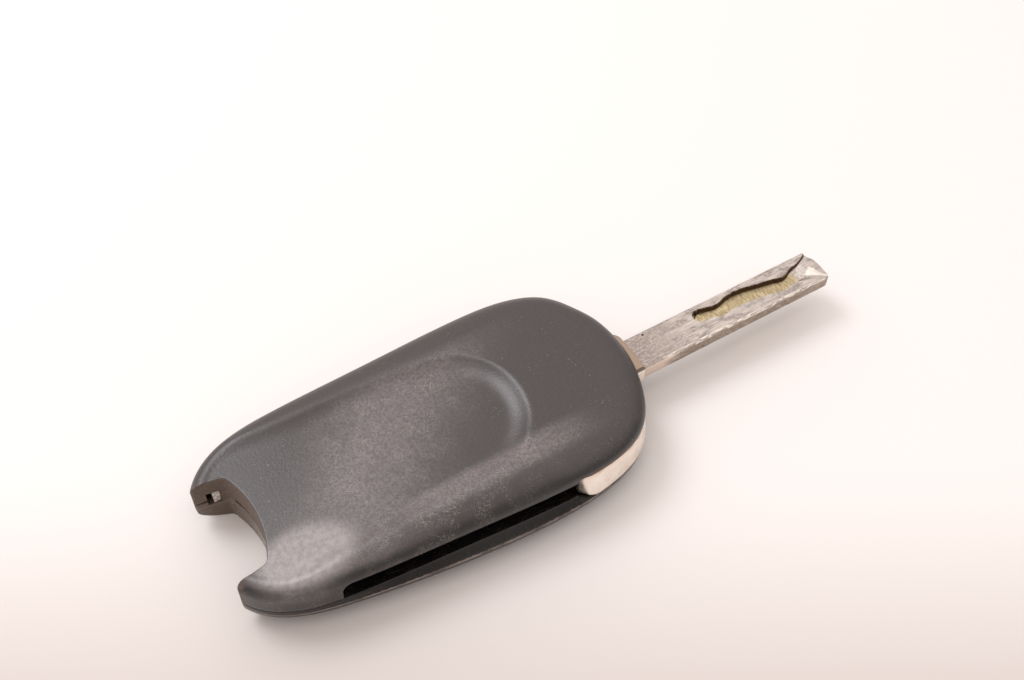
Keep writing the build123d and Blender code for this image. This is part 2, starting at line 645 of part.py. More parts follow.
def make_low_band_coil():
    """Ferrite block with a wound waist, that hears the car's low-band signal."""
    length, width, height = LOW_BAND_COIL
    coil_block = block(LOW_BAND_COIL, LOW_BAND_COIL_PLACE, BOARD_TOP)
    core_size = (length - 2 * COIL_FLANGE, width - 2 * COIL_FLANGE, height)
    core = block(core_size, LOW_BAND_COIL_PLACE, BOARD_TOP)
    waist_size = (length, width, height - 2 * COIL_FLANGE)
    waist = block(waist_size, LOW_BAND_COIL_PLACE, BOARD_TOP + COIL_FLANGE)
    return coil_block - (waist - core)


def make_bar_stub():
    """Bright end of the lost keyring bar, still wedged in the far horn's socket."""
    x = BAR_X + (BAR_SOCKET_LENGTH - BAR_STUB_THICKNESS) / 2 - SEAT_GAP
    y = SOCKET_END - BAR_STUB_LENGTH / 2 - SEAT_GAP
    size = (BAR_STUB_THICKNESS, BAR_STUB_LENGTH, BAR_SOCKET_HEIGHT - 2 * SEAT_GAP)
    return block(size, (x, y), SOCKET_BOTTOM + SEAT_GAP)


NODES = {
    "rear_cover": make_rear_cover(),
    "front_case": make_front_case(),
    "blade_head": make_blade_head(),
    "key_blade": make_key_blade(),
    "blade_pin": make_blade_pin(),
    "release_button": make_release_button(),
    "flip_spring": make_flip_spring(),
    "return_spring": make_return_spring(),
    "keypad": make_keypad(),
    "circuit_board": make_circuit_board(),
    "coin_cell": make_coin_cell(),
    "negative_contact": make_negative_contact(),
    "positive_contact": make_positive_contact(),
    "main_chip": block(MAIN_CHIP, MAIN_CHIP_PLACE, BOARD_TOP),
    "radio_crystal": block(CRYSTAL, CRYSTAL_PLACE, BOARD_TOP),
    "low_band_coil": make_low_band_coil(),
    "transponder": block(TRANSPONDER, TRANSPONDER_PLACE, BOARD_TOP),
    "capacitors": make_capacitors(),
    "ring_bar_stub": make_bar_stub(),
}
for button_name, switch_name, place in zip(BUTTON_NAMES, SWITCH_NAMES, button_places()):
    NODES[button_name] = make_button(place)
    NODES[switch_name] = make_switch(place)

for node, shape in NODES.items():
    export_step(shape, f"parts/{node}.step")
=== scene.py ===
"""Looks of a folding-blade remote car key, lying button side down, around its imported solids."""
import math

import bmesh
import bpy
import numpy as np
from mathutils import Matrix, Vector, geometry


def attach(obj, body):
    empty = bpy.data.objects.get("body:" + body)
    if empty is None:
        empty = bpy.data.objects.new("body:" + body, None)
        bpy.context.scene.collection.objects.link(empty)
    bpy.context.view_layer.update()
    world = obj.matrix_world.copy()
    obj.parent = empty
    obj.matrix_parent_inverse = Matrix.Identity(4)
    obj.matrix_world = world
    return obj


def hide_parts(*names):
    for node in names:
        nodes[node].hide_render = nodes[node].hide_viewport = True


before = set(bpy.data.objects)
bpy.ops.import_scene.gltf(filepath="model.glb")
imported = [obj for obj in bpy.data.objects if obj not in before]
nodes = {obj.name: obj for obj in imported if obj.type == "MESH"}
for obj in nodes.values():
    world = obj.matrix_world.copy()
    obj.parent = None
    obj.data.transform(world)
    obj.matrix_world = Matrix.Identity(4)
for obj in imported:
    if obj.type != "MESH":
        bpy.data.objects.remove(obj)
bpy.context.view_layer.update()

MM = 0.001


# The photograph's view: a camera about 230 mm away, above the slot side and behind the
# tail, with a slight roll, as a hand-held close-up has.
VIEW_AZIMUTH = -31.5
VIEW_ELEVATION = 52.1
VIEW_ROLL = 1.6
VIEW_PIXELS_WIDE = 1024
VIEW_FOCAL_PIXELS = 1250
VIEW_PLACE = (-46.7, -101.7, 178.9)

camera_data = bpy.data.cameras.new("view")
camera_data.sensor_width = 36.0
camera_data.lens = camera_data.sensor_width * VIEW_FOCAL_PIXELS / VIEW_PIXELS_WIDE
camera_data.clip_start = 0.01
camera_data.clip_end = 10.0
camera = bpy.data.objects.new("view", camera_data)
bpy.context.scene.collection.objects.link(camera)
camera.matrix_world = (
    Matrix.Translation(Vector(VIEW_PLACE) * MM)
    @ Matrix.Rotation(math.radians(VIEW_AZIMUTH), 4, "Z")
    @ Matrix.Rotation(math.radians(90 - VIEW_ELEVATION), 4, "X")
    @ Matrix.Rotation(math.radians(VIEW_ROLL), 4, "Z")
)
bpy.context.scene.camera = camera


# The room: a warm white world, brightest overhead and towards the far side, and one small soft lamp
# there, which gives the short shadow on the near side. The floor is white card, with painted shade making it
# duller on that side.
def linear(hex_colour):
    """Linear colour of an sRGB hex value: each channel less its toe, to the power 2.4."""
    channels = [int(hex_colour[i : i + 2], 16) / 255 for i in (1, 3, 5)]
    return [c / 12.92 if c <= 0.04045 else ((c + 0.055) / 1.055) ** 2.4 for c in channels] + [1.0]


# Ranges ease in and out, and mixes are of colours
USUAL_SETTINGS = {"MapRange": {"interpolation_type": "SMOOTHSTEP"}, "Mix": {"data_type": "RGBA"}}


def add(tree, kind, *inputs, out=None, **settings):
    """Adds a node. A setting named like a property sets it, and any other the input of that name. The
    inputs fill the open sockets in order, after the operation where a node has one: an output is
    linked, and a hex value is a colour. Returns the output of a name, or else the first open one."""
    made = tree.nodes.new("ShaderNode" + kind)
    if hasattr(made, "operation"):
        made.operation, *inputs = inputs
    named = {}
    for name, value in {**USUAL_SETTINGS.get(kind, {}), **settings}.items():
        if hasattr(made, name):
            setattr(made, name, value)
        else:
            named[made.inputs[name.replace("_", " ")]] = value
    named.update(zip([socket for socket in made.inputs if socket.enabled], inputs))
    for socket, value in named.items():
        if isinstance(value, bpy.types.NodeSocket):
            tree.links.new(value, socket)
        else:
            socket.default_value = linear(value) if isinstance(value, str) else value
    return made.outputs[out] if out else next((socket for socket in made.outputs if socket.enabled), None)


LAMP_DIRECTION = (-0.32, 0.6, 1.0)
LAMP_DISTANCE = 0.75
LAMP_SIZE = 0.36
LAMP_WATTS = 1.8
LAMP_COLOUR = "#fafaff"
WORLD_COLOUR = "#fff3ec"
WORLD_STRENGTH = (0.55, 1.12)
BRIGHT_WAY = (0.0, 0.42, 0.9)
BRIGHT_SPAN = (0.1, 0.85)
BACKGROUND = "#fffcfa"
FLOOR_SIZE = 3.0
FLOOR_COLOUR = "#f7f6f6"
# Painted shade on the floor: its colour darkens along this way, towards the near side
FLOOR_PAINTED_SHADE = "#d0c8c4"
PAINTED_SHADE_WAY = (-0.5, -0.87, 0.0)
PAINTED_SHADE_SPAN = (-0.005, 0.062)

world = bpy.data.worlds.new("white room")
bpy.context.scene.world = world
world.use_nodes = True
tree = world.node_tree
tree.nodes.clear()
facing = add(tree, "VectorMath", "DOT_PRODUCT", add(tree, "TexCoord", out="Generated"), BRIGHT_WAY)
room = add(tree, "Background", WORLD_COLOUR, add(tree, "MapRange", facing, *BRIGHT_SPAN, *WORLD_STRENGTH))
seen = add(tree, "Background", BACKGROUND, 1.0)
add(tree, "OutputWorld", add(tree, "MixShader", add(tree, "LightPath", out="Is Camera Ray"), room, seen))

lamp_data = bpy.data.lights.new("soft lamp", "AREA")
lamp_data.shape = "DISK"
lamp_data.size = LAMP_SIZE
lamp_data.energy = LAMP_WATTS
lamp_data.color = linear(LAMP_COLOUR)[:3]
lamp = bpy.data.objects.new("soft lamp", lamp_data)
bpy.context.scene.collection.objects.link(lamp)
lamp_way = Vector(LAMP_DIRECTION).normalized()
lamp.location = lamp_way * LAMP_DISTANCE
lamp.rotation_mode = "QUATERNION"
lamp.rotation_quaternion = lamp_way.to_track_quat("Z", "Y")

floor_mesh = bpy.data.meshes.new("floor")
half = FLOOR_SIZE / 2
floor_corners = [(-half, -half, 0), (half, -half, 0), (half, half, 0), (-half, half, 0)]
floor_mesh.from_pydata(floor_corners, [], [(0, 1, 2, 3)])
floor = bpy.data.objects.new("floor", floor_mesh)
bpy.context.scene.collection.objects.link(floor)
card = bpy.data.materials.new("white card")
card.use_nodes = True
tree = card.node_tree
tree.nodes.clear()
# Painted shade: the card is mixed towards the darker colour along this way
painted_shade_along = add(tree, "VectorMath", "DOT_PRODUCT", add(tree, "TexCoord", out="Object"), PAINTED_SHADE_WAY)
tone = add(tree, "Mix", add(tree, "MapRange", painted_shade_along, *PAINTED_SHADE_SPAN), FLOOR_COLOUR, FLOOR_PAINTED_SHADE)
add(tree, "OutputMaterial", add(tree, "BsdfPrincipled", Base_Color=tone, Roughness=0.9))
floor_mesh.materials.append(card)


# Rear cover: the deep upper shell, injection-moulded in black ABS with a fine spark-eroded grain,
# rubbed smoother where thumbs reach it. A soft U-shaped thumb recess runs out towards the tail.
def material(name, **settings):
    """A new material: its tree, its shader with the settings, and its place in millimetres."""
    made = bpy.data.materials.new(name)
    made.use_nodes = True
    tree = made.node_tree
    tree.nodes.clear()
    shader = add(tree, "BsdfPrincipled", **settings)
    add(tree, "OutputMaterial", shader)
    place = add(tree, "VectorMath", "SCALE", add(tree, "TexCoord", out="Object"), 1 / MM)
    return made, tree, shader.node, place


def finish(tree, shader, colour, rough, *layers):
    """Gives the shader its colour, its roughness and its bumps, which are laid over each other: each
    is a height and its depth in millimetres."""
    under = {}
    for height, depth in layers:
        under = {"Normal": add(tree, "Bump", Height=height, Distance=depth * MM, Strength=1.0, **under)}
    for name, value in {"Base Color": colour, "Roughness": rough, **under}.items():
        tree.links.new(value, shader.inputs[name])


def stretched(tree, place, sizes, turn=0.0):
    """The place in units of a size along each of three axes, turned about the upright by degrees."""
    turned_place = add(tree, "VectorRotate", place, rotation_type="Z_AXIS", Angle=math.radians(turn))
    return add(tree, "VectorMath", "DIVIDE", turned_place, sizes)


def within(tree, *steps):
    """The product of smooth steps: each is a value, where the step starts and ends, and what it is
    there, if not 0 and 1."""
    share = add(tree, "MapRange", *steps[0])
    for step in steps[1:]:
        share = add(tree, "Math", "MULTIPLY", share, add(tree, "MapRange", *step))
    return share


def stained(tree, colour, tone, share, most=1.0):
    """A colour with a tone laid over it: wholly where the share times its most is one."""
    return add(tree, "Mix", add(tree, "Math", "MULTIPLY", share, most), colour, tone)


def scratches(tree, place, length, width, turn, share):
    """Thin lines at an angle: the highest share of a noise drawn out along them."""
    drawn = stretched(tree, place, (length, width, width), turn)
    return add(tree, "MapRange", add(tree, "TexNoise", drawn, 1.0, 1.0), 1 - share, 1 - share + 0.04)


def near_place(tree, place, centre, radius):
    """One inside a ball round a place, falling to nothing at its surface."""
    away = add(tree, "VectorMath", "DISTANCE", place, centre)
    return add(tree, "MapRange", away, radius * 0.5, radius, 1.0, 0.0)


def in_notch(tree, place):
    """One on the walls of the keyring notch, and nothing a millimetre away from it."""
    x, y = (add(tree, "SeparateXYZ", place, out=letter) for letter in "XY")
    return within(tree, (x, *NOTCH_GRIME_X), (add(tree, "Math", "ABSOLUTE", y), *NOTCH_GRIME_HALF))


CASE_LENGTH = 75.0
NOSE_X = CASE_LENGTH / 2
TAIL_X = -CASE_LENGTH / 2
COVER_HALF = 19.15
NOSE_STATIONS = ((2.0, 9.45), (6.2, 3.35), (13.0, 0.55), (22.0, 0.0))
TAIL_STATIONS = ((35.0, 0.9), (16.0, 2.15), (7.8, 3.75), (3.1, 6.45), (0.4, 9.95))
TAIL_BULGE = 0.8
RIM_FLARE = (0.4, 0.45, 0.45, 0.7, 1.35, 1.65, 0.45, 0.0, 0.0, 0.0, 0.0)
PARTING = 5.3
SLOT_TOP = 9.1
POCKET_TOP = 9.9
CROWN = 13.0
CROWN_RADIUS = 600.0
TAIL_DROP = 1.5
SHOULDER_WIDTH_NOSE = 4.4
SHOULDER_WIDTH_TAIL = 2.8
SHOULDER_FOOT = 9.15
SHOULDER_FOOT_TAIL = 8.4
PIVOT = np.array([NOSE_X - 8.0, -8.75])
FOLD = math.radians(183.0)
POCKET_RADIUS = 16.1
POCKET_RAISES = 5
SLOT_INNER = 3.05
SLOT_REACH = 52.15
NOSE_NICK = (33.0, 0.9, 12.2)
NOSE_NICK_RADIUS = 0.55
RIDGE_Y = -11.6
# The palest patch of painted sheen is longer than wide: its middle is given with X already divided by that
PATCH_STRETCH = 1.5
PATCH_MIDDLE = (-17.2, -10.6, 11.0)
PATCH_REACH = 7.5
NOTCH_GRIME = "#6b5a4d"
NOTCH_GRIME_X = (-27.2, -28.2)
NOTCH_GRIME_HALF = (10.6, 9.6)
EDGE = 0.35
LOWER_EDGE = 0.18
LOOP_STEP = 0.28
GRID_STEP = 0.45


def stations():
    """Outline points from the nose round the far side and back, each with the rim's flare there."""
    side = [(NOSE_X, 0.0)]
    side += [(NOSE_X - back, COVER_HALF - narrower) for back, narrower in NOSE_STATIONS]
    side += [(TAIL_X + ahead, COVER_HALF - narrower) for ahead, narrower in TAIL_STATIONS]
    side.append((TAIL_X - TAIL_BULGE, 0.0))
    half = np.column_stack([side, RIM_FLARE])
    return np.vstack([half, half[-2:0:-1] * [1, -1, 1]])


def spaced(points, step):
    """Points about one step apart along a closed polyline; further columns are carried along."""
    closed = np.vstack([points, points[:1]])
    along = np.concatenate([[0], np.cumsum(np.linalg.norm(np.diff(closed[:, :2], axis=0), axis=1))])
    places = np.linspace(0, along[-1], int(round(along[-1] / step)) + 1)[:-1]
    return np.stack([np.interp(places, along, column) for column in closed.T], 1)


def closed_spline(points, step):
    """Closed cubic spline through the points, as points one step apart: each span is a Hermite cubic
    over its chord, with slopes that make the second derivative continuous."""
    chord = np.linalg.norm((np.roll(points, -1, 0) - points)[:, :2], axis=1)
    before = np.roll(chord, 1)
    count = len(points)
    here = np.arange(count)
    system = np.zeros((count, count))
    system[here, here] = 2 * (before + chord)
    system[here, (here - 1) % count] = chord
    system[here, (here + 1) % count] = before
    rise = (np.roll(points, -1, 0) - points) / chord[:, None]
    slope = np.linalg.solve(system, 3 * (chord[:, None] * np.roll(rise, 1, 0) + before[:, None] * rise))
    t = np.linspace(0, 1, 80, endpoint=False)[None, :, None]
    p, q = points[:, None], np.roll(points, -1, 0)[:, None]
    m, n = (slope * chord[:, None])[:, None], (np.roll(slope, -1, 0) * chord[:, None])[:, None]
    curve = (2 * t**3 - 3 * t**2 + 1) * p + (t**3 - 2 * t**2 + t) * m
    curve = curve + (3 * t**2 - 2 * t**3) * q + (t**3 - t**2) * n
    return spaced(curve.reshape(-1, points.shape[1]), step)


def softened(points, width):
    """A closed, evenly spaced loop whose corners are rounded by a moving average over a width."""
    step = np.linalg.norm(points[1] - points[0])
    reach = max(1, int(round(width / step)))
    kernel = np.hanning(2 * reach + 3)[1:-1]
    kernel /= kernel.sum()
    wrapped = np.vstack([points[-reach - 1 :], points, points[: reach + 1]])
    smooth = np.stack([np.convolve(column, kernel, "same") for column in wrapped.T], 1)
    return smooth[reach + 1 : reach + 1 + len(points)]


def outwards(loop):
    """Unit normals of an anticlockwise loop, at right angles to the chord between neighbours."""
    run = np.roll(loop, -1, 0) - np.roll(loop, 1, 0)
    return np.stack([run[:, 1], -run[:, 0]], 1) / np.linalg.norm(run, axis=1)[:, None]


def inside(points, loop):
    """Which points lie in a loop: those from which a ray towards +X crosses it an odd number of times."""
    x, y = points[:, :1], points[:, 1:]
    x0, y0 = loop[:, 0], loop[:, 1]
    x1, y1 = np.roll(x0, -1), np.roll(y0, -1)
    rises = (y0 > y) != (y1 > y)
    with np.errstate(divide="ignore", invalid="ignore"):
        crossing = x0 + (y - y0) * (x1 - x0) / (y1 - y0)
    return (np.sum(rises & (x < crossing), axis=1) % 2) == 1


def depth_in(points, loop):
    """Distance from each point to the nearest segment of a loop, positive inside it."""
    start = loop
    run = np.roll(loop, -1, 0) - start
    length = np.maximum((run**2).sum(1), 1e-12)
    nearest = np.empty(len(points))
    for first in range(0, len(points), 1000):
        part = points[first : first + 1000]
        away_x = part[:, :1] - start[None, :, 0]
        away_y = part[:, 1:] - start[None, :, 1]
        share = np.clip((away_x * run[:, 0] + away_y * run[:, 1]) / length, 0, 1)
        gap = (away_x - share * run[:, 0]) ** 2 + (away_y - share * run[:, 1]) ** 2
        nearest[first : first + 1000] = np.sqrt(gap.min(1))
    return np.where(inside(points, loop), nearest, -nearest)


def ease(value, low, high):
    """0 below low, 1 above high, and a smooth cubic between."""
    t = np.clip((np.asarray(value) - low) / (high - low), 0, 1)
    return t * t * (3 - 2 * t)


NOTCH_DEPTH = 8.0
NOTCH_BACK_HALF = 8.4
NOTCH_MOUTH_HALF = 9.5
NOTCH_BACK_RADIUS = 20.0
TIP_ROUNDING = 1.1

cover_curve = closed_spline(stations(), 0.1)
cover_loop = cover_curve[:, :2]


def notch_edge(step=0.1):
    """The notch's edge from the near horn's mouth over the hollow back to the far horn's mouth."""
    sag = NOTCH_BACK_RADIUS - math.sqrt(NOTCH_BACK_RADIUS**2 - NOTCH_BACK_HALF**2)
    corner = TAIL_X + NOTCH_DEPTH - sag
    mouth = TAIL_X - 4
    wide = NOTCH_BACK_HALF + (NOTCH_MOUTH_HALF - NOTCH_BACK_HALF) * (corner - mouth) / (corner - TAIL_X)
    side = np.linspace(0, 1, int((corner - mouth) / step))[:, None]
    near = np.array([mouth, -wide]) * (1 - side) + np.array([corner, -NOTCH_BACK_HALF]) * side
    y = np.linspace(-NOTCH_BACK_HALF, NOTCH_BACK_HALF, int(2 * NOTCH_BACK_HALF / step))
    back = np.stack([TAIL_X + NOTCH_DEPTH - NOTCH_BACK_RADIUS + np.sqrt(NOTCH_BACK_RADIUS**2 - y**2), y], 1)
    return np.vstack([near, back[1:-1], near[::-1] * [1, -1]])


def with_notch(loop, step):
    """The outline with the notch taken out, its corners and the horns' tips rounded."""
    edge = notch_edge()
    mouth = np.vstack([edge, [(TAIL_X - 30, edge[-1, 1]), (TAIL_X - 30, edge[0, 1])]])
    outer = loop[~inside(loop, mouth)]
    turn = int(np.argmax(np.linalg.norm(np.roll(outer, -1, 0) - outer, axis=1)))
    outer = np.roll(outer, -turn - 1, 0)
    inner = edge[inside(edge, loop)]
    joined = spaced(np.vstack([outer, inner[::-1]]), 0.1)
    return spaced(softened(joined, TIP_ROUNDING), step)


def crown_height(points):
    """Height of the cover's crown: a barrel along the key that falls slowly towards the tail."""
    fall = (NOSE_X - points[:, 0]) * TAIL_DROP / CASE_LENGTH
    return CROWN - fall - CROWN_RADIUS + np.sqrt(CROWN_RADIUS**2 - points[:, 1] ** 2)


RECESS_RIM = ((17.0, 0.6), (16.0, 5.2), (14.0, 8.3), (11.5, 10.6), (8.0, 11.8), (2.0, 12.4), (-5.0, 12.8),
              (-14.0, 13.2), (-24.0, 13.7), (-40.0, 14.4))
RECESS_DEPTH_NOSE = 1.3
RECESS_DEPTH_TAIL = 0.75
RECESS_BANK = 4.0
RECESS_SHOULDER = 0.25
RECESS_LIP = 0.07
RECESS_FALL = 2.2

rim_side = np.array(RECESS_RIM)
recess_loop = closed_spline(np.vstack([rim_side, (-52, 0), rim_side[::-1] * [1, -1]]), 0.4)


def recess_depth(points):
    """Depth of the thumb recess, deepest behind the nose end: steepest just inside the small
    rounding of its lip, and easing out slowly to the floor."""
    within = depth_in(points, recess_loop)
    deepest = RECESS_DEPTH_TAIL + (RECESS_DEPTH_NOSE - RECESS_DEPTH_TAIL) * ease(points[:, 0], -22, 12)
    share = np.clip((within + RECESS_SHOULDER) / (RECESS_BANK + RECESS_SHOULDER), 0, 1)
    share = share**2 * (1 + RECESS_LIP) / (share + RECESS_LIP)
    return deepest * (1 - (1 - share) ** RECESS_FALL)


def cover_top(points, notched):
    """Height of the cover's outer skin: the crown, less the recess, a shoulder that is a quarter of
    an ellipse inside the outline, and the small rounding along the notch."""
    width = SHOULDER_WIDTH_TAIL + (SHOULDER_WIDTH_NOSE - SHOULDER_WIDTH_TAIL) * ease(points[:, 0], -34, -8)
    over_head = ease(np.linalg.norm(points - PIVOT, axis=1), POCKET_RADIUS + POCKET_RAISES, POCKET_RADIUS)
    foot = SHOULDER_FOOT_TAIL + (SHOULDER_FOOT - SHOULDER_FOOT_TAIL) * ease(points[:, 0], -36, -20)
    foot = foot + (POCKET_TOP + LOWER_EDGE + 0.05 - foot) * over_head
    crown = crown_height(points)
    missing = np.clip(1 - np.clip(depth_in(points, cover_loop), 0, None) / width, 0, 1)
    drop = (crown - foot) * (1 - np.sqrt(1 - missing**2))
    edge = np.clip(1 - np.clip(depth_in(points, notched), 0, None) / EDGE, 0, 1)
    drop = np.maximum(drop, EDGE * (1 - np.sqrt(1 - edge**2)))
    return crown - recess_depth(points) * (1 - missing) - drop


def sheet(loop, holes=(), step=None, offsets=()):
    """Triangles over the inside of a loop less its holes: the loops themselves, rings at the given
    distances inside the outer loop, and a square grid in the middle if a step is given. Returns the
    points, with the outer loop's first, and the triangles, which face up."""
    loops = [loop, *holes]
    points = list(loops)
    normal = outwards(loop)
    for offset in offsets:
        ring = loop - normal * offset
        points.append(ring[depth_in(ring, loop) > offset - 0.02])
    if step:
        low, high = loop.min(0), loop.max(0)
        x, y = np.meshgrid(np.arange(low[0], high[0], step), np.arange(low[1], high[1], step))
        grid = np.stack([x.ravel(), y.ravel()], 1)
        grid = grid[depth_in(grid, loop) > (offsets[-1] if len(offsets) else 0) + step * 0.6]
        for hole in holes:
            grid = grid[depth_in(grid, hole) < -step / 3]
        points.append(grid)
    edges = []
    first = 0
    for one in loops:
        edges += [(first + k, first + (k + 1) % len(one)) for k in range(len(one))]
        first += len(one)
    made = geometry.delaunay_2d_cdt([Vector(p) for p in np.vstack(points)], edges, [], 0, 1e-6)
    flat = np.array([tuple(v) for v in made[0]])
    faces = np.array(made[2])
    middle = flat[faces].mean(1)
    kept = inside(middle, loop)
    for hole in holes:
        kept &= ~inside(middle, hole)
    faces = faces[kept]
    a, b, c = (flat[faces[:, k]] for k in range(3))
    turned = (b - a)[:, 0] * (c - a)[:, 1] - (b - a)[:, 1] * (c - a)[:, 0] < 0
    faces[turned] = faces[turned][:, ::-1]
    return flat, faces


class Surface:
    """Vertices and faces of one piece, gathered as arrays."""

    def __init__(self):
        self.points = []
        self.faces = []
        self.count = 0

    def put(self, points, faces=()):
        """Adds points, and faces that count from the first of them; returns the first one's number."""
        first = self.count
        self.points.append(np.asarray(points, float))
        self.count += len(points)
        self.faces += [tuple(int(k) + first for k in face) for face in faces]
        return first

    def grid(self, rows, closed=True, flip=False):
        """Adds quads over rows of points, each row as long as the next, closed round or open. They
        face outwards where the rows run anticlockwise and follow each other upwards."""
        rows = np.asarray(rows, float)
        deep, wide = rows.shape[:2]
        number = np.arange(deep * wide).reshape(deep, wide)
        right = np.roll(number, -1, 1) if closed else number[:, 1:]
        left = number if closed else number[:, :-1]
        quads = np.stack([left[:-1], right[:-1], right[1:], left[1:]], -1).reshape(-1, 4)
        return self.put(rows.reshape(-1, 3), quads[:, ::-1] if flip else quads)

    def object(self, name, made_of, angle=40.0, merge=0.01, values=None):
        """Makes the object in metres, merges points that lie together and shades it smooth below an
        angle. Values name numbers that each point carries for its material."""
        mesh = bpy.data.meshes.new(name)
        mesh.from_pydata(np.vstack(self.points) * MM, [], self.faces)
        for key, numbers in (values or {}).items():
            mesh.attributes.new(key, "FLOAT", "POINT").data.foreach_set("value", numbers.astype(np.float32))
        made = bpy.data.objects.new(name, mesh)
        bpy.context.scene.collection.objects.link(made)
        work = bmesh.new()
        work.from_mesh(mesh)
        bmesh.ops.remove_doubles(work, verts=work.verts, dist=merge * MM)
        bmesh.ops.dissolve_degenerate(work, edges=work.edges, dist=merge * MM / 10)
        bmesh.ops.delete(work, geom=[vert for vert in work.verts if not vert.link_faces], context="VERTS")
        work.to_mesh(mesh)
        work.free()
        mesh.shade_smooth()
        mesh.set_sharp_from_angle(angle=math.radians(angle))
        mesh.materials.append(made_of)
        return made

    def plate(self, loop, height, up, holes=(), step=None):
        """Adds a face inside a loop, less its holes, at one height, at the heights that a function
        gives, or at one height for each point of the loop, which is then the only outline."""
        flat, faces = sheet(loop, holes, step)
        level = height(flat) if callable(height) else np.broadcast_to(height, len(flat))
        self.put(np.column_stack([flat, level]), faces if up else faces[:, ::-1])

    def strip(self, line, low, high, closed=False, flip=False):
        """Adds an upright wall along a line between two heights, each one number or one a point. It
        faces to the right of the line."""
        low = np.broadcast_to(low, len(line))
        high = np.broadcast_to(high, len(line))
        self.grid([np.column_stack([line, low]), np.column_stack([line, high])], closed, flip)


BAR_X = TAIL_X + 3.9
BAR_HALF = 1.1
BAR_LOW = 4.55
BAR_HIGH = 7.55
BAR_END = NOTCH_BACK_HALF + 3.0
PRY_Y = 2.8
PRY_HALF = 4.3
PRY_RISE = 0.3
PRY_END = TAIL_X + NOTCH_DEPTH + 1.2
TIP_GAP = 0.4
CORNER = 2.0
# The sockets lie further out than this on each side, and the pry slot further in from the tail
SOCKET_FROM = 8
PRY_FROM = 6

fold_along = np.array([math.cos(-FOLD), math.sin(-FOLD)])
fold_across = np.array([-math.sin(-FOLD), math.cos(-FOLD)])


def at_fold(along, across):
    """Place of a point given along and across the folded blade, from the pivot."""
    return PIVOT + along * fold_along + across * fold_across


def slot_roof(points):
    """Height of the slot's roof, which comes down in a quarter circle at the slot's tail end."""
    left = SLOT_REACH - (points - PIVOT) @ fold_along
    return SLOT_TOP - CORNER + np.sqrt(np.clip(CORNER**2 - np.clip(CORNER - left, 0, CORNER) ** 2, 0, None))


SEAM, IN_SLOT, IN_POCKET, IN_SOCKET, IN_PRY = range(5)


def zones(points, on_notch):
    """Where the edge meets the other shell, opens into the slot or the pocket, and where it is
    hollowed for the bar's sockets and the pry slot."""
    along = (points - PIVOT) @ fold_along
    across = (points - PIVOT) @ fold_across
    zone = np.where((across > SLOT_INNER) & (along < SLOT_REACH) & ~on_notch, IN_SLOT, SEAM)
    zone[np.linalg.norm(points - PIVOT, axis=1) < POCKET_RADIUS] = IN_POCKET
    zone[on_notch & (np.abs(points[:, 0] - BAR_X) < BAR_HALF) & (np.abs(points[:, 1]) > SOCKET_FROM)] = IN_SOCKET
    zone[on_notch & (np.abs(points[:, 1] - PRY_Y) < PRY_HALF) & (points[:, 0] > TAIL_X + PRY_FROM)] = IN_PRY
    return zone


def cover_foot(points, on_notch):
    """Height of the cover's lower edge along its outline, with a wedge of a gap at the horns' tips."""
    zone = zones(points, on_notch)
    opened = [zone == IN_SLOT, zone == IN_POCKET, zone == IN_SOCKET, zone == IN_PRY]
    foot = np.select(opened, [slot_roof(points), POCKET_TOP, BAR_HIGH, PARTING + PRY_RISE], PARTING)
    tip = on_notch & (points[:, 0] < BAR_X - BAR_HALF)
    return foot + tip * TIP_GAP * ease(points[:, 0], TAIL_X + 0.2, BAR_X - BAR_HALF)


def stepped(fine, height, coarse):
    """Numbers of the points to keep from a fine loop: one in so many, and those at a jump in height."""
    jump = np.flatnonzero(np.abs(np.roll(height, -1) - height) > 0.1)
    near = (jump[:, None] + np.array([-14, -8, -4, -2, 0, 1, 3, 5, 9, 15])).ravel() % len(fine)
    return np.unique(np.concatenate([np.arange(0, len(fine) - coarse // 2, coarse), near]))


FINE = 0.02
edge_fine = with_notch(cover_loop, FINE)
edge_fine_out = outwards(edge_fine)
edge_fine_notch = depth_in(edge_fine, cover_loop) > 0.2
cover_fine_foot = cover_foot(edge_fine, edge_fine_notch)


def from_pocket(kept):
    """Turns the kept points so that the first is the one after the head's pocket, at the nose."""
    zone = zones(edge_fine[kept], edge_fine_notch[kept])
    return np.roll(kept, -np.flatnonzero((zone == SEAM) & (np.roll(zone, 1) == IN_POCKET))[0])


kept = from_pocket(stepped(edge_fine, cover_fine_foot, int(LOOP_STEP / FINE)))
notched = edge_fine[kept]
foot = cover_fine_foot[kept]
notched_out = edge_fine_out[kept]

shoulder_turns = np.radians([7, 14, 21, 28, 36, 44, 52, 60, 68, 77, 86])
ring_offsets = list(SHOULDER_WIDTH_NOSE * (1 - np.cos(shoulder_turns)))
edge_offsets = list(EDGE * (1 - np.cos(np.radians([25, 45, 65, 90]))))
offsets = sorted(set(np.round(edge_offsets + ring_offsets, 3)))

cover = Surface()
flat, faces = sheet(notched, step=GRID_STEP, offsets=offsets)
top = cover_top(flat, notched)
cover.put(np.column_stack([flat, top]), faces)
wall_top = top[: len(notched)]
rows = []
for turn in np.radians([0, 30, 60, 90]):
    inset = notched - notched_out * LOWER_EDGE * (1 - math.sin(turn))
    rows.append(np.column_stack([inset, foot + LOWER_EDGE * (1 - math.cos(turn))]))
for share in (0.2, 0.45, 0.7, 0.9, 1.0):
    low = foot + LOWER_EDGE
    rows.append(np.column_stack([notched, low + (wall_top - low) * share]))
cover.grid(rows)

# The cover's underside: the parting plane with the hollow for the board, the blade's slot, the
# head's pocket with the stem's bore, the bar's sockets and the pry slot.
WALL = 1.5
DIVIDER = 1.2
CAVITY_FRONT = TAIL_X + NOTCH_DEPTH + WALL
BORE_RADIUS = 2.6
BORE_TOP = 11.5
CELL_Y = 3.5
RIB_PLACES = (-15.5, -5.5)
RIB_HALF = (0.6, 6.5)
RIB_LOW = 8.92


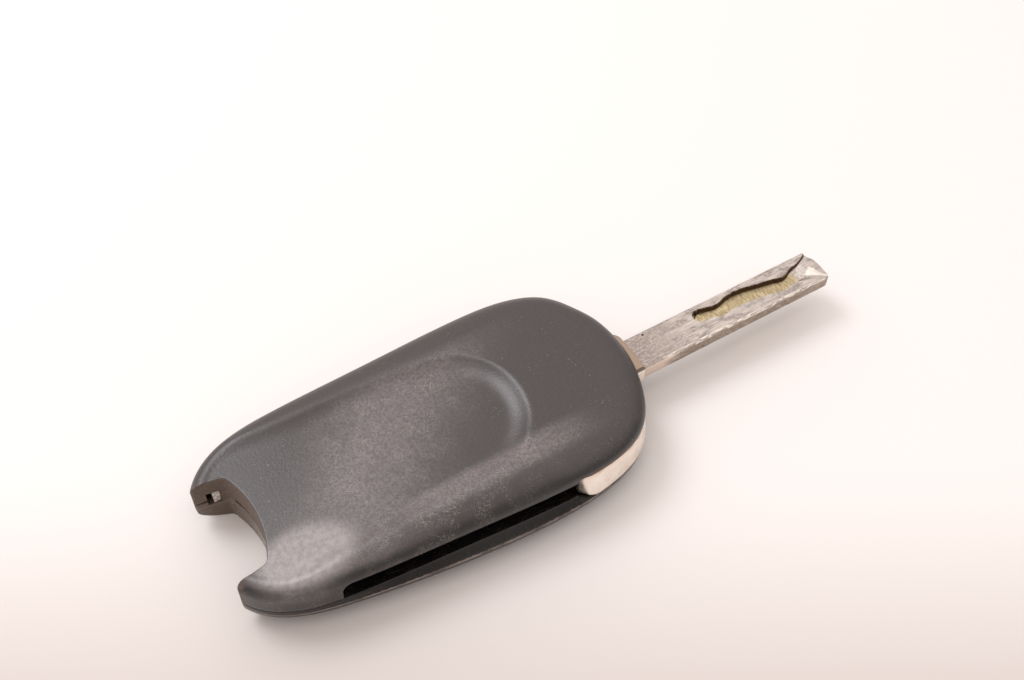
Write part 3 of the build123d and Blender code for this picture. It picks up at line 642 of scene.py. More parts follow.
def bearing(point):
    """Direction of a point from the pivot, in degrees from +X, from 0 to 360."""
    return math.degrees(math.atan2(point[1] - PIVOT[1], point[0] - PIVOT[0])) % 360


def arc(start, end, radius=POCKET_RADIUS, step=2.0):
    """Points on a circle about the pivot from one bearing to another, both ends included."""
    turn = np.radians(np.linspace(start, end, max(2, int(abs(end - start) / step) + 1)))
    return PIVOT + radius * np.stack([np.cos(turn), np.sin(turn)], 1)


def hollow_plan(inset, divider, front):
    """Plan of the space for the board: the outline moved inwards, less the slot and the pocket with
    a divider round them, and cut off straight in front of the notch."""
    loop = (cover_loop - outwards(cover_loop) * inset)[::8]
    along = (loop - PIVOT) @ fold_along
    across = (loop - PIVOT) @ fold_across
    radius = POCKET_RADIUS + divider
    free = (across < SLOT_INNER - divider) | (along > SLOT_REACH + divider)
    free &= (np.linalg.norm(loop - PIVOT, axis=1) > radius) & (loop[:, 0] > front)
    far = loop[free & (loop[:, 1] > 0)]
    near = loop[free & (loop[:, 1] < 0)]
    inner = SLOT_INNER - divider
    meet_place = at_fold(math.sqrt(radius**2 - inner**2), inner)
    turn = arc(bearing(meet_place), bearing(far[0]), radius)
    return np.vstack([far, near, [at_fold(SLOT_REACH + divider, inner)], turn[:-1]])


def with_detours(line, zone, detours):
    """An edge line whose runs in the sockets and the pry slot go round their inner ends instead."""
    pieces = []
    place = 0
    for number in (IN_SOCKET, IN_PRY, IN_SOCKET):
        members = np.flatnonzero(zone[place:] == number) + place
        members = members[: np.argmax(np.append(np.diff(members), 2) > 1) + 1]
        run = line[members]
        pieces += [line[place : members[0] + 1], detours(run, number)]
        place = members[-1]
    return np.vstack(pieces + [line[place:]])


def sunk_corners(run, number):
    """The two inner corners behind a socket's mouth, or behind the pry slot's."""
    ends = run[[0, -1]]
    if number == IN_PRY:
        return np.column_stack([[PRY_END, PRY_END], ends[:, 1]])
    return np.column_stack([ends[:, 0], np.sign(ends[:, 1]) * BAR_END])


def sink(shell, line, line_zone, socket_end, pry_end, up):
    """Adds the walls and ends of the bar's sockets and the pry slot, which go up or down from the
    parting plane behind their mouths in an edge line."""
    for number, end, sides in ((IN_SOCKET, socket_end, (1, -1)), (IN_PRY, pry_end, (0,))):
        for side in sides:
            run = line[(line_zone == number) & (line[:, 1] * side >= 0)]
            corners = sunk_corners(run, number)
            shell.strip(np.vstack([run[:1], corners, run[-1:]]), min(PARTING, end), max(PARTING, end))
            shell.plate(np.vstack([run, corners[::-1]]), end, up)


zone = zones(edge_fine[kept], edge_fine_notch[kept])
seam = notched - notched_out * LOWER_EDGE
slot_backs = CORNER * (1 - np.cos(np.radians([0, 15, 30, 45, 60, 75, 90])))
meet = at_fold(math.sqrt(POCKET_RADIUS**2 - SLOT_INNER**2), SLOT_INNER)
slot_side = np.vstack([[at_fold(SLOT_REACH - back, SLOT_INNER) for back in slot_backs], [meet]])
slot_run = seam[zone == IN_SLOT]
slot_wall = np.vstack([slot_run[:1], slot_side])
pocket_run = seam[zone == IN_POCKET]
meets = (zone != IN_SLOT) & (zone != IN_POCKET)
edge_run = seam[meets]
edge_zone = zone[meets]
inner_arc = arc(bearing(meet), bearing(edge_run[0]))
slot_arc = arc(bearing(meet), bearing(pocket_run[0]))


def ceiling(points):
    """Height of the cover's inner skin: the outer one, with the recess, less the wall."""
    return crown_height(points) - recess_depth(points) - WALL


cavity = hollow_plan(WALL, DIVIDER, CAVITY_FRONT)
parting = np.vstack([with_detours(edge_run, edge_zone, sunk_corners), slot_side, inner_arc[1:-1]])
to_seam = np.linalg.norm(parting[:, None] - seam, axis=2)
seam_foot = np.where(zone == SEAM, foot, PARTING)[to_seam.argmin(1)]
parting_foot = np.where(to_seam.min(1) < 1e-6, seam_foot, PARTING)


def parting_level(points):
    """Height of the parting plane, whose outline follows the foot of the edge at the horns' tips."""
    return np.append(parting_foot, np.full(len(points) - len(parting), PARTING))


cover.plate(parting, parting_level, False, [cavity])
cover.strip(cavity, PARTING, ceiling(cavity), True, True)
cover.plate(cavity, ceiling, False, step=1.5)
cover.strip(slot_wall, PARTING, slot_roof(slot_wall))
cover.plate(np.vstack([slot_run, slot_arc[:0:-1], slot_side[::-1]]), slot_roof, False)
bore = arc(0, 352, BORE_RADIUS, 8)
cover.plate(np.vstack([pocket_run, inner_arc[:0:-1], slot_arc[:-1]]), POCKET_TOP, False, [bore])
cover.strip(inner_arc, PARTING, POCKET_TOP)
cover.strip(slot_arc[::-1], SLOT_TOP, POCKET_TOP)
cover.strip(bore, POCKET_TOP, BORE_TOP, True, True)
cover.plate(bore, BORE_TOP, False)
sink(cover, edge_run, edge_zone, BAR_HIGH, PARTING + PRY_RISE, False)
for place in RIB_PLACES:
    wide, long = RIB_HALF
    rib = np.array([(-wide, -long), (wide, -long), (wide, long), (-wide, long)]) + [place, CELL_Y]
    cover.strip(rib, RIB_LOW, ceiling(rib), True)
    cover.plate(rib, RIB_LOW, False)

# Matt black ABS, moulded against a spark-eroded steel: a mottled grain about 0.4 mm across. Thumbs
# and pockets have worn it smoother in the recess and along the near ridge. Painted sheen greys it there,
# on its up-facing tops and palest in a patch near the tail, and painted shade leaves its shoulders black. Dirt
# has settled on the notch's walls.
abs_plastic, tree, shader, place = material("black ABS, spark-eroded grain", Specular_IOR_Level=0.95)
up = add(tree, "SeparateXYZ", add(tree, "TexCoord", out="Normal"), out="Z")
x, y, z = (add(tree, "SeparateXYZ", place, out=letter) for letter in "XYZ")
coarse = add(tree, "TexNoise", place, 1 / 5.0, 3.0)
mottle = add(tree, "TexNoise", place, 1 / 0.42, 3.0)
fine = add(tree, "TexNoise", place, 1 / 0.13, 2.0)
# Painted sheen and shade, with wear: faces turned up are painted greyer, steep shoulders black
sheen_and_wear = add(tree, "MapRange", add(tree, "Math", "MULTIPLY_ADD", coarse, 0.10, up), 0.72, 0.98)
slant = add(tree, "Math", "MULTIPLY_ADD", coarse, 9.0, add(tree, "Math", "SUBTRACT", x, y))
# Painted sheen in the recess and along the near ridge, where the surface is also rubbed smoother
thumb_sheen_and_wear = within(tree, (slant, 18.0, -6.0), (slant, -25.0, -8.0), (x, -24.0, -14.0, 0.4), (y, 14.5, 11.0))
off_ridge = add(tree, "Math", "ABSOLUTE", add(tree, "Math", "SUBTRACT", y, RIDGE_Y))
ridge_sheen_and_wear = within(tree, (off_ridge, 3.4, 1.2), (x, 28.0, 12.0), (x, -20.0, -4.0, 0.3))
sheen_and_rubbing = add(tree, "Math", "MAXIMUM", thumb_sheen_and_wear, ridge_sheen_and_wear)
colour = add(tree, "Mix", sheen_and_wear, "#0a0808", "#2b2426")
# The grey painted sheen, laid where the tops face up
colour = stained(tree, colour, "#7f787b", add(tree, "Math", "MULTIPLY", sheen_and_rubbing, sheen_and_wear), 0.7)
grain = add(tree, "MapRange", mottle, 0.36, 0.64)
colour = stained(tree, colour, "#0f0c0c", grain, 0.42)
marks = scratches(tree, place, 1.9, 0.11, 25.0, 0.37)
for turn, share in ((-50.0, 0.36), (78.0, 0.35)):
    marks = add(tree, "Math", "MAXIMUM", marks, scratches(tree, place, 1.5, 0.10, turn, share))
sparse = add(tree, "MapRange", add(tree, "TexNoise", place, 1 / 3.2, 2.0), 0.42, 0.60)
near_side = within(tree, (y, -10.0, -14.5), (x, 14.0, -6.0, 0.2))
rubbed = add(tree, "Math", "MAXIMUM", add(tree, "Math", "MULTIPLY", sheen_and_rubbing, 0.9), near_side)
marks = add(tree, "Math", "MULTIPLY", add(tree, "Math", "MULTIPLY", marks, sparse), rubbed)
specks = add(tree, "MapRange", add(tree, "TexNoise", place, 1 / 0.3, 0.0), 0.77, 0.82)
colour = stained(tree, colour, "#aca3a1", marks, 0.5)
colour = stained(tree, colour, "#c9c2be", add(tree, "Math", "MULTIPLY", specks, sparse), 0.22)
colour = stained(tree, colour, "#b5aba4", near_place(tree, place, NOSE_NICK, NOSE_NICK_RADIUS))
# Painted sheen: the palest patch, near the tail
sheen_patch = near_place(tree, stretched(tree, place, (PATCH_STRETCH, 1.0, 1.0)), PATCH_MIDDLE, PATCH_REACH)
uneven = add(tree, "MapRange", add(tree, "TexNoise", place, 1 / 0.9, 4.0), 0.2, 0.8, 0.5, 0.9)
colour = stained(tree, colour, "#a39e9f", add(tree, "Math", "MULTIPLY", sheen_patch, sheen_patch), uneven)
grime = add(tree, "Math", "MULTIPLY", in_notch(tree, place), add(tree, "MapRange", up, 0.96, 0.6))
colour = stained(tree, colour, NOTCH_GRIME, grime, add(tree, "MapRange", mottle, 0.3, 0.7, 0.6, 0.95))
in_slot = within(tree, (y, -14.6, -13.6), (z, 9.3, 9.15), (x, -25.5, -23.0))
colour = stained(tree, colour, "#4b4442", in_slot, 0.8)
smoothed = add(tree, "Math", "MULTIPLY_ADD", grain, 0.3, sheen_and_rubbing)
rough = add(tree, "Math", "MULTIPLY_ADD", grime, 0.4, add(tree, "MapRange", smoothed, 0.0, 1.3, 0.38, 0.30))
finish(tree, shader, colour, rough, (mottle, 0.03), (fine, 0.012), (marks, -0.01))
made_cover = cover.object("rear_cover_shell", abs_plastic)
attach(made_cover, "case")
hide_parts("rear_cover")


# Front case: the shallow lower shell, moulded in glossy black ABS. Its rim stands out from the cover
# at the nose end and a sloping facet leads up to the parting plane, which is the slot's floor too.
RIM = 4.1
POCKET_FLOOR = 4.5
UNDERSIDE_INSET = 6.0
TAIL_INSET = 8.0
BOARD = 4.3
FLOOR = 1.3
LEDGE = 2.4
SEAT = 0.03
PRY_FLOOR = 5.0
RIM_ROUNDING = 0.14
TOP_ROUNDING = 0.1
RELEASE_WINDOW = 4.95
RELEASE_WELL = 5.75
RELEASE_LEDGE = 2.0
BUTTON_PLACES = (6.5, -6.5, -19.5)
WINDOW_HALF = (5.35, 7.35)
WINDOW_CORNER = 3.15


def flare_at(points):
    """How far the rim stands out beside each point: the value at the outline's nearest point."""
    parts = np.array_split(points, 20)
    nearest = [np.argmin(((part[:, None] - cover_loop) ** 2).sum(2), 1) for part in parts]
    return np.clip(cover_curve[np.concatenate(nearest), 2], 0, None)


def underside(points):
    """Height of the underside: a quarter ellipse inside the rim, then the flat that the key lies on."""
    inset = UNDERSIDE_INSET + (TAIL_INSET - UNDERSIDE_INSET) * ease(-points[:, 0], 24, 37)
    within = np.clip(1 - np.clip(depth_in(points, rim_outline), 0, None) / inset, 0, 1)
    return RIM * (1 - np.sqrt(1 - within**2))


def rounded_window(place):
    """A button's window: a rectangle with round corners, anticlockwise."""
    turn = np.radians(np.arange(0, 360, 10)) + np.radians(5)
    side = np.stack([np.sign(np.cos(turn)), np.sign(np.sin(turn))], 1)
    straight = np.array(WINDOW_HALF) - WINDOW_CORNER
    return side * straight + WINDOW_CORNER * np.stack([np.cos(turn), np.sin(turn)], 1) + [place, 0]


rim_outline = cover_loop + outwards(cover_loop) * np.clip(cover_curve[:, 2:], 0, None)
fine_flare = np.where(edge_fine_notch, 0, flare_at(edge_fine))
fine_zone = zones(edge_fine, edge_fine_notch)
fine_sunk = [fine_zone == IN_POCKET, fine_zone == IN_SOCKET, fine_zone == IN_PRY]
fine_top = np.select(fine_sunk, [POCKET_FLOOR, BAR_LOW, PRY_FLOOR], PARTING)
kept = from_pocket(stepped(edge_fine, fine_top, int(LOOP_STEP / FINE)))
zone = fine_zone[kept]
outer = edge_fine[kept] + edge_fine_out[kept] * fine_flare[kept, None]
inner = edge_fine[kept]
top = fine_top[kept]
low = underside(outer)
low = np.where(edge_fine_notch[kept], low, np.maximum(low, RIM - RIM_ROUNDING))
slope = (inner - outer) / (PARTING - RIM)

case = Surface()
rows = [np.column_stack([outer, low])]
for rise, inset in ((0.5, 0.12), (0.8, 0.4), (1.0, 0.8)):
    level = np.minimum(low + RIM_ROUNDING * rise, top - 0.01)
    rows.append(np.column_stack([outer + slope * RIM_ROUNDING * inset, level]))
for share in (0.35, 0.7, 1.0):
    level = low + RIM_ROUNDING + (top - TOP_ROUNDING - low - RIM_ROUNDING) * share
    rows.append(np.column_stack([outer + slope * np.clip(level - RIM, 0, None)[:, None], level]))
case_out = outwards(edge_fine)[kept]
for turn in np.radians([30, 60, 90]):
    level = top - TOP_ROUNDING * (1 - math.sin(turn))
    crown = outer + slope * np.clip(level - RIM, 0, None)[:, None]
    rows.append(np.column_stack([crown - case_out * TOP_ROUNDING * (1 - math.cos(turn)), level]))
case.grid(rows)

windows = [rounded_window(place) for place in BUTTON_PLACES]
release = arc(0, 354, RELEASE_WINDOW, 6)
underside_offsets = list(UNDERSIDE_INSET * (1 - np.cos(np.radians([12, 20, 28, 36, 45, 54, 63, 72, 81]))))
flat, faces = sheet(outer, [*windows, release], 1.4, underside_offsets)
height = underside(flat)
height[: len(outer)] = low
case.put(np.column_stack([flat, height]), faces[:, ::-1])

top_run = rows[-1][:, :2]
pocket_run = top_run[zone == IN_POCKET]
edge_run = top_run[zone != IN_POCKET]
edge_zone = zone[zone != IN_POCKET]
board_hollow = hollow_plan(WALL + SEAT, DIVIDER, CAVITY_FRONT)
lower_hollow = hollow_plan(WALL + LEDGE + SEAT, DIVIDER + SEAT, CAVITY_FRONT + SEAT)
pocket_arc = arc(bearing(edge_run[-1]), bearing(edge_run[0]))
well = arc(0, 354, RELEASE_WELL, 6)
parting = np.vstack([with_detours(edge_run, edge_zone, sunk_corners), pocket_arc[1:-1]])
case.plate(parting, PARTING, True, [board_hollow])
case.strip(pocket_arc, POCKET_FLOOR, PARTING)
case.plate(np.vstack([pocket_run, pocket_arc[-2:0:-1]]), POCKET_FLOOR, True, [well])
case.strip(well, RELEASE_LEDGE, POCKET_FLOOR, True, True)
case.plate(well, RELEASE_LEDGE, True, [release])
case.strip(release, underside(release), RELEASE_LEDGE, True, True)
case.strip(board_hollow, BOARD, PARTING, True, True)
case.plate(board_hollow, BOARD, True, [lower_hollow])
case.strip(lower_hollow, FLOOR, BOARD, True, True)
case.plate(lower_hollow, FLOOR, True, windows)
for window in windows:
    case.strip(window, 0.0, FLOOR, True, True)
sink(case, edge_run, edge_zone, BAR_LOW, PRY_FLOOR, True)

# Glossy black ABS from a polished mould: a clear dark shine, dulled by hair scratches and dust, with a
# painted highlight as a light line along its rim, and dirt in the notch.
gloss_plastic, tree, shader, place = material("black ABS, polished", Specular_IOR_Level=0.5)
haze = add(tree, "TexNoise", place, 1 / 2.4, 3.0)
dust = add(tree, "MapRange", add(tree, "TexNoise", place, 1 / 0.22, 1.0), 0.68, 0.78)
long_hair = scratches(tree, place, 5.0, 0.07, 12.0, 0.30)
hair = add(tree, "Math", "MAXIMUM", long_hair, scratches(tree, place, 4.0, 0.07, -22.0, 0.28))
high = add(tree, "SeparateXYZ", place, out="Z")
# Painted highlight: a light line along the rim's rounded edge
rim_highlight = within(tree, (high, 3.95, 4.08), (high, 4.34, 4.22), (haze, 0.3, 0.6, 0.35, 0.9))
colour = add(tree, "Mix", add(tree, "MapRange", haze, 0.3, 0.7), "#0a0808", "#141010")
colour = stained(tree, colour, "#8f8780", dust, 0.25)
colour = stained(tree, colour, "#6d6764", hair, 0.25)
colour = stained(tree, colour, "#8b807b", rim_highlight)
colour = stained(tree, colour, NOTCH_GRIME, in_notch(tree, place), 0.75)
rough = add(tree, "MapRange", haze, 0.3, 0.7, 0.16, 0.28)
finish(tree, shader, colour, rough, (haze, 0.012), (hair, -0.004))
made_case = case.object("front_case_shell", gloss_plastic)
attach(made_case, "case")
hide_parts("front_case")


# Blade head: a zinc die casting, nickel plated. Its near face carries on the case's corner between
# the rim and the cover's edge, and its collar holds the blade's root.
SKEW = math.radians(1.35)
TURN = FOLD + SKEW
HEAD_LOW = 4.7
HEAD_HIGH = 9.7
COLLAR_TOP = 8.8
COLLAR_REACH = 10.0
COLLAR_NEAR = 3.4
COLLAR_FAR = 12.8
COLLAR_CORNER = 2.2
HEAD_RADIUS = 15.4
HEAD_OUTSIDE_RIM = 0.15
HEAD_INSIDE_COVER = 0.1
HEAD_ROUNDING = 0.25
HEAD_TOP_ROUNDING = 0.1
LOBE_REACH = 12.0
LOBE_ROUNDING = 1.0
# The crease between the band and the lobe's end, at the head's foot and at its top, and the
# angles by which the end turns inwards from the case's line there
LOBE_CREASE = ((20.6, -20.3), (21.5, -19.37))
LOBE_TURN = (9.0, 8.0)
COLLAR_ROUNDING = 0.2
COLLAR_CHAMFER = 0.45
WELL_RADIUS = 4.4
WELL_FLOOR = 5.9
HEAD_BORE = 2.55
PIN_X = COLLAR_REACH - 5.4
PIN_RADIUS = 1.0
SHANK_LENGTH = 8.4
SHANK_HALF = (2.3, 0.95)
SHANK_HOLE_HALF = 2.33
SHANK_HOLE_Z = (6.22, 8.18)
BLADE_LINE = 6.85
BLADE_Z = 7.2


def reach(angles, loop):
    """Distance from the pivot to a loop round it, along each angle."""
    away = loop - PIVOT
    bearings = np.arctan2(away[:, 1], away[:, 0])
    order = np.argsort(bearings)
    return np.interp(angles, bearings[order], np.linalg.norm(away, axis=1)[order], period=2 * math.pi)


def corner_reach(angles, height):
    """Distance from the pivot to the head's outer face: from inside the rim at its foot to inside
    the cover's edge at its top, along each angle."""
    up = np.clip((height - HEAD_LOW) / (HEAD_HIGH - HEAD_LOW), 0, 1)
    rim = reach(angles, rim_outline) + HEAD_OUTSIDE_RIM
    return rim + (reach(angles, cover_loop) - HEAD_INSIDE_COVER - rim) * up


def turned(points, angle):
    """Points in the plane turned about the pivot."""
    turn = np.array([[math.cos(angle), -math.sin(angle)], [math.sin(angle), math.cos(angle)]])
    return PIVOT + points @ turn.T


def placed(angles, distances):
    """Plane points at angles and distances from the pivot."""
    return PIVOT + distances[:, None] * np.stack([np.cos(angles), np.sin(angles)], 1)


def united(name, made_of, wholes, cutters):
    """One object from closed shells: the first joined with the others, less the cutters."""
    made = [whole.object(f"{name}_{index}", made_of) for index, whole in enumerate(wholes + cutters)]
    for index, other in enumerate(made[1:], 1):
        step = made[0].modifiers.new("step", "BOOLEAN")
        step.solver = "EXACT"
        step.operation = "UNION" if index < len(wholes) else "DIFFERENCE"
        step.object = other
    bpy.context.view_layer.update()
    evaluated = made[0].evaluated_get(bpy.context.evaluated_depsgraph_get())
    mesh = bpy.data.meshes.new_from_object(evaluated)
    mesh.name = name
    work = bmesh.new()
    work.from_mesh(mesh)
    bmesh.ops.remove_doubles(work, verts=work.verts, dist=0.003 * MM)
    work.to_mesh(mesh)
    work.free()
    for spent in made:
        bpy.data.objects.remove(spent)
    whole = bpy.data.objects.new(name, mesh)
    bpy.context.scene.collection.objects.link(whole)
    return whole


def slab(line_at, heights, insets):
    """Closed shell from plan lines at rising heights, each moved inwards by its inset, along normals
    that turn softly round its corners so that the lines don't cross there."""
    shell = Surface()
    rows = []
    for height, inset in zip(heights, insets):
        line = line_at(height)
        away = outwards(softened(line, 1.0))
        rows.append(np.column_stack([line - away * np.reshape(inset, (-1, 1)), np.full(len(line), height)]))
    shell.grid(rows)
    shell.plate(rows[0][:, :2], heights[0], False)
    shell.plate(rows[-1][:, :2], heights[-1], True)
    return shell


def rounding(depth, radius):
    """Inset that rounds an edge off with a radius, at a depth below it."""
    return radius * (1 - np.sqrt(1 - np.clip(1 - depth / radius, 0, 1) ** 2))


circle_angles = np.radians(np.arange(0, 360, 0.5))
HEAD_POINTS = 640


def head_line(height):
    """Plan of the head round the pivot, as a reach for each angle: a body inside the case's corner in
    both places of the blade, and behind the pivot a squared lobe, cut to the case's corner there and
    to the flat end beyond its crease."""
    cosine, sine = np.cos(circle_angles), np.sin(circle_angles)
    corner = corner_reach(circle_angles, height)
    body = np.minimum(corner, corner_reach(circle_angles - TURN, height))
    square = np.minimum(LOBE_REACH / np.clip(-cosine, 1e-6, 1), COLLAR_FAR / np.clip(-sine, 1e-6, 1))
    up = (height - HEAD_LOW) / (HEAD_HIGH - HEAD_LOW)
    crease = np.array(LOBE_CREASE[0]) * (1 - up) + np.array(LOBE_CREASE[1]) * up
    lean = math.radians(LOBE_TURN[0] * (1 - up) + LOBE_TURN[1] * up)
    facing = np.array([-math.sin(lean), -math.cos(lean)])
    flat_end = (crease - PIVOT) @ facing / np.clip(cosine * facing[0] + sine * facing[1], 0.05, 1)
    lobe = np.minimum(np.minimum(square, corner), flat_end)
    lobe = np.where((cosine < 0) & (-sine * lobe > COLLAR_NEAR), lobe, 0)
    plan = placed(circle_angles, np.minimum(np.maximum(body, lobe), HEAD_RADIUS))
    length = np.linalg.norm(np.roll(plan, -1, 0) - plan, axis=1).sum()
    return spaced(plan, length / HEAD_POINTS)


def collar_line(height=0.0):
    """Plan of the collar: a rectangle beside the pivot with its far outer corner rounded."""
    turn = np.radians(np.arange(0, 91, 7.5))
    middle = np.array([COLLAR_REACH - COLLAR_CORNER, COLLAR_FAR - COLLAR_CORNER])
    corner = middle + COLLAR_CORNER * np.stack([np.cos(turn), np.sin(turn)], 1)
    outline = np.vstack([[(0.0, COLLAR_NEAR), (COLLAR_REACH, COLLAR_NEAR)], corner, [(0.0, COLLAR_FAR)]])
    return turned(spaced(outline, 0.25), SKEW)


def box(along, across, low, high):
    """Closed box in the blade's line, from the pivot."""
    corners = [(along[0], across[0]), (along[1], across[0]), (along[1], across[1]), (along[0], across[1])]
    plan = turned(np.array(corners), SKEW)
    return slab(lambda height: plan, (low, high), (0.0, 0.0))


def disc_shell(radius, low, high, place=(0.0, 0.0)):
    """Closed upright cylinder at a place in the blade's line, from the pivot."""
    turn = np.radians(np.arange(0, 360, 7.5))
    plan = turned(np.array(place) + radius * np.stack([np.cos(turn), np.sin(turn)], 1), SKEW)
    return slab(lambda height: plan, (low, high), (0.0, 0.0))


off_line = (collar_line() - PIVOT) @ [-math.sin(SKEW), math.cos(SKEW)]
flank_inset = np.where(np.abs(off_line - COLLAR_NEAR) < 0.02, 1, 0.35)
collar_heights = [HEAD_LOW, HEAD_LOW + 0.06, HEAD_LOW + COLLAR_ROUNDING, 6.8]
collar_heights += [COLLAR_TOP - COLLAR_CHAMFER, COLLAR_TOP]
collar_insets = [COLLAR_ROUNDING, 0.06, 0.0, 0.0, 0.0, COLLAR_CHAMFER * flank_inset]
head_heights = HEAD_LOW + np.array([0, 0.03, 0.1, 0.2, 0.35, 0.55, 0.8, 1.1, 1.5, 2.2, 3.2, 4.2, 4.9, 5.0])
top_inset = [rounding(HEAD_HIGH - height, HEAD_TOP_ROUNDING) for height in head_heights]
plan = head_line(HEAD_LOW)
lobe_share = ease(-plan[:, 0], -21.0, -18.0) * ease(-plan[:, 1], 12.0, 14.0)
head_radius = HEAD_ROUNDING + (LOBE_ROUNDING - HEAD_ROUNDING) * lobe_share
head_insets = [rounding(height - HEAD_LOW, head_radius) + top for height, top in zip(head_heights, top_inset)]
head_parts = [slab(head_line, head_heights, head_insets), slab(collar_line, collar_heights, collar_insets)]
shank_along = (COLLAR_REACH - SHANK_LENGTH - SEAT, COLLAR_REACH + 1)
shank_across = (BLADE_LINE - SHANK_HOLE_HALF, BLADE_LINE + SHANK_HOLE_HALF)
head_cuts = [
    disc_shell(WELL_RADIUS, WELL_FLOOR, HEAD_HIGH + 1),
    disc_shell(HEAD_BORE, HEAD_LOW - 1, HEAD_HIGH + 1),
    disc_shell(PIN_RADIUS, HEAD_LOW - 1, HEAD_HIGH + 1, (PIN_X, BLADE_LINE)),
    box(shank_along, shank_across, *SHANK_HOLE_Z),
]

# Satin nickel plate over zinc: warm and cream-white, softly mirroring the card, with the brassy
# stain of worn plate under the cover's edge and fine pits in the casting.
nickel, tree, shader, place = material("satin nickel plate", Metallic=1.0)
cloud = add(tree, "TexNoise", place, 1 / 2.2, 3.0)
high = add(tree, "SeparateXYZ", place, out="Z")
up = add(tree, "SeparateXYZ", add(tree, "TexCoord", out="Normal"), out="Z")
stain = add(tree, "MapRange", add(tree, "Math", "MULTIPLY_ADD", cloud, 2.4, high), 9.9, 11.2)
pits = add(tree, "MapRange", add(tree, "TexNoise", place, 1 / 0.2, 1.0), 0.64, 0.74)
colour = add(tree, "Mix", add(tree, "MapRange", cloud, 0.3, 0.7), "#f3e6da", "#fbf3e9")
colour = stained(tree, colour, "#b98a66", stain, 0.7)
colour = stained(tree, colour, "#7b6350", pits, 0.12)
# Painted reflection: faces turned up are painted a duller taupe
colour = stained(tree, colour, "#a99888", add(tree, "MapRange", up, 0.8, 0.95))
# Painted dark reflection on the sloping chamfers and roundings
colour = stained(tree, colour, "#5b4636", within(tree, (up, 0.3, 0.45), (up, 0.95, 0.88)), 0.8)
rough = add(tree, "MapRange", cloud, 0.25, 0.75, 0.24, 0.36)
waves, tooth = (add(tree, "TexNoise", place, 1 / size, detail) for size, detail in ((0.9, 2.0), (0.16, 1.0)))
finish(tree, shader, colour, rough, (waves, 0.012), (tooth, 0.002))
made_head = united("blade_head_shell", nickel, head_parts, head_cuts)
made_head.data.shade_smooth()
made_head.data.set_sharp_from_angle(angle=math.radians(30))
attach(made_head, "blade")
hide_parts("blade_head")


# Key blade: nickel silver strip, ground flat, with the wavy track milled in both flats and worn at
# its near ridge and tip. Its shank is pinned in the head's collar.
BLADE_LENGTH = 41.0
BLADE_HALF = 3.45
BLADE_THICK = 2.7
TIP_LINE = ((-1.0, 0.6), (-0.7, 0.15), (0.0, 0.0), (0.4, 0.15), (1.0, 1.2))
TIP_FROM = 36.0
TRACK_DEPTH = 1.0
# The track's far and near walls: distance from the root, and offset from the blade's middle
TRACK_FAR = ((13.6, 1.2), (14.9, 2.35), (16.5, 2.2), (18.4, 1.76), (21.6, 2.4), (24.8, 2.42), (27.1, 1.95),
             (30.6, 1.34), (33.6, 0.78), (35.6, 1.65), (37.6, 2.05), (39.0, 2.6), (40.3, 3.45), (42.0, 4.4))
TRACK_NEAR = ((13.6, 1.2), (14.2, 0.1), (16.0, -0.14), (18.8, -0.92), (21.0, -0.5), (24.7, -0.76),
              (28.2, -1.23), (31.6, -1.87), (34.4, -1.41), (36.5, -1.5), (42.0, -2.2))
TRACK_END = 13.5
TRACK_END_RADIUS = 1.25
TRACK_MIDDLE = 1.2
TRACK_RUN_OUT = (33.5, 38.5)
TRACK_SHALLOWER = 0.8
SCALLOP = 1.3
SCALLOP_DEPTH = 0.04
# The arris that the tip's bevel falls away from: two points along and across the blade
TIP_ARRIS = ((37.3, -0.9), (40.6, -3.5))
TIP_BEVEL_START = 38.3
TIP_BEVEL_SLOPE = 0.28
TIP_BEVEL_WIDTH = 1.3
# The facet between the arris and the tip, which carries a painted highlight: the way across it, and its corner
# at the edge
FACET_WAY = (0.62, 0.786)
FACET_CORNER = (40.6, -3.6)
BLADE_EDGE_RADII = (0.2, 0.14)
NICK_DEPTH = 0.25
BLADE_STEP = 0.11
ROOT_NICK = (42.9, 1.2, 8.5)
ROOT_NICK_RADIUS = 0.3


def smooth_value(points, u):
    """Values along a smooth line through points of rising distance: a cubic Hermite curve whose
    slopes are those between each point's neighbours."""
    at, value = np.array(points).T
    slope = np.gradient(value, at)
    index = np.clip(np.searchsorted(at, u) - 1, 0, len(at) - 2)
    span = at[index + 1] - at[index]
    t = np.clip((u - at[index]) / span, 0, 1)
    start = (2 * t**3 - 3 * t**2 + 1) * value[index] + (t**3 - 2 * t**2 + t) * span * slope[index]
    return start + (3 * t**2 - 2 * t**3) * value[index + 1] + (t**3 - t**2) * span * slope[index + 1]


def ripple(u, v, seed):
    """Smooth random waves between -1 and 1: a sum of six sines with seeded directions and phases."""
    chance = np.random.default_rng(seed)
    angle, phase = chance.uniform(0, 2 * math.pi, (2, 6))
    wave = chance.uniform(0.6, 1.6, 6)
    total = sum(np.sin((u * math.cos(a) + v * math.sin(a)) * w + p) for a, p, w in zip(angle, phase, wave))
    return total / 6


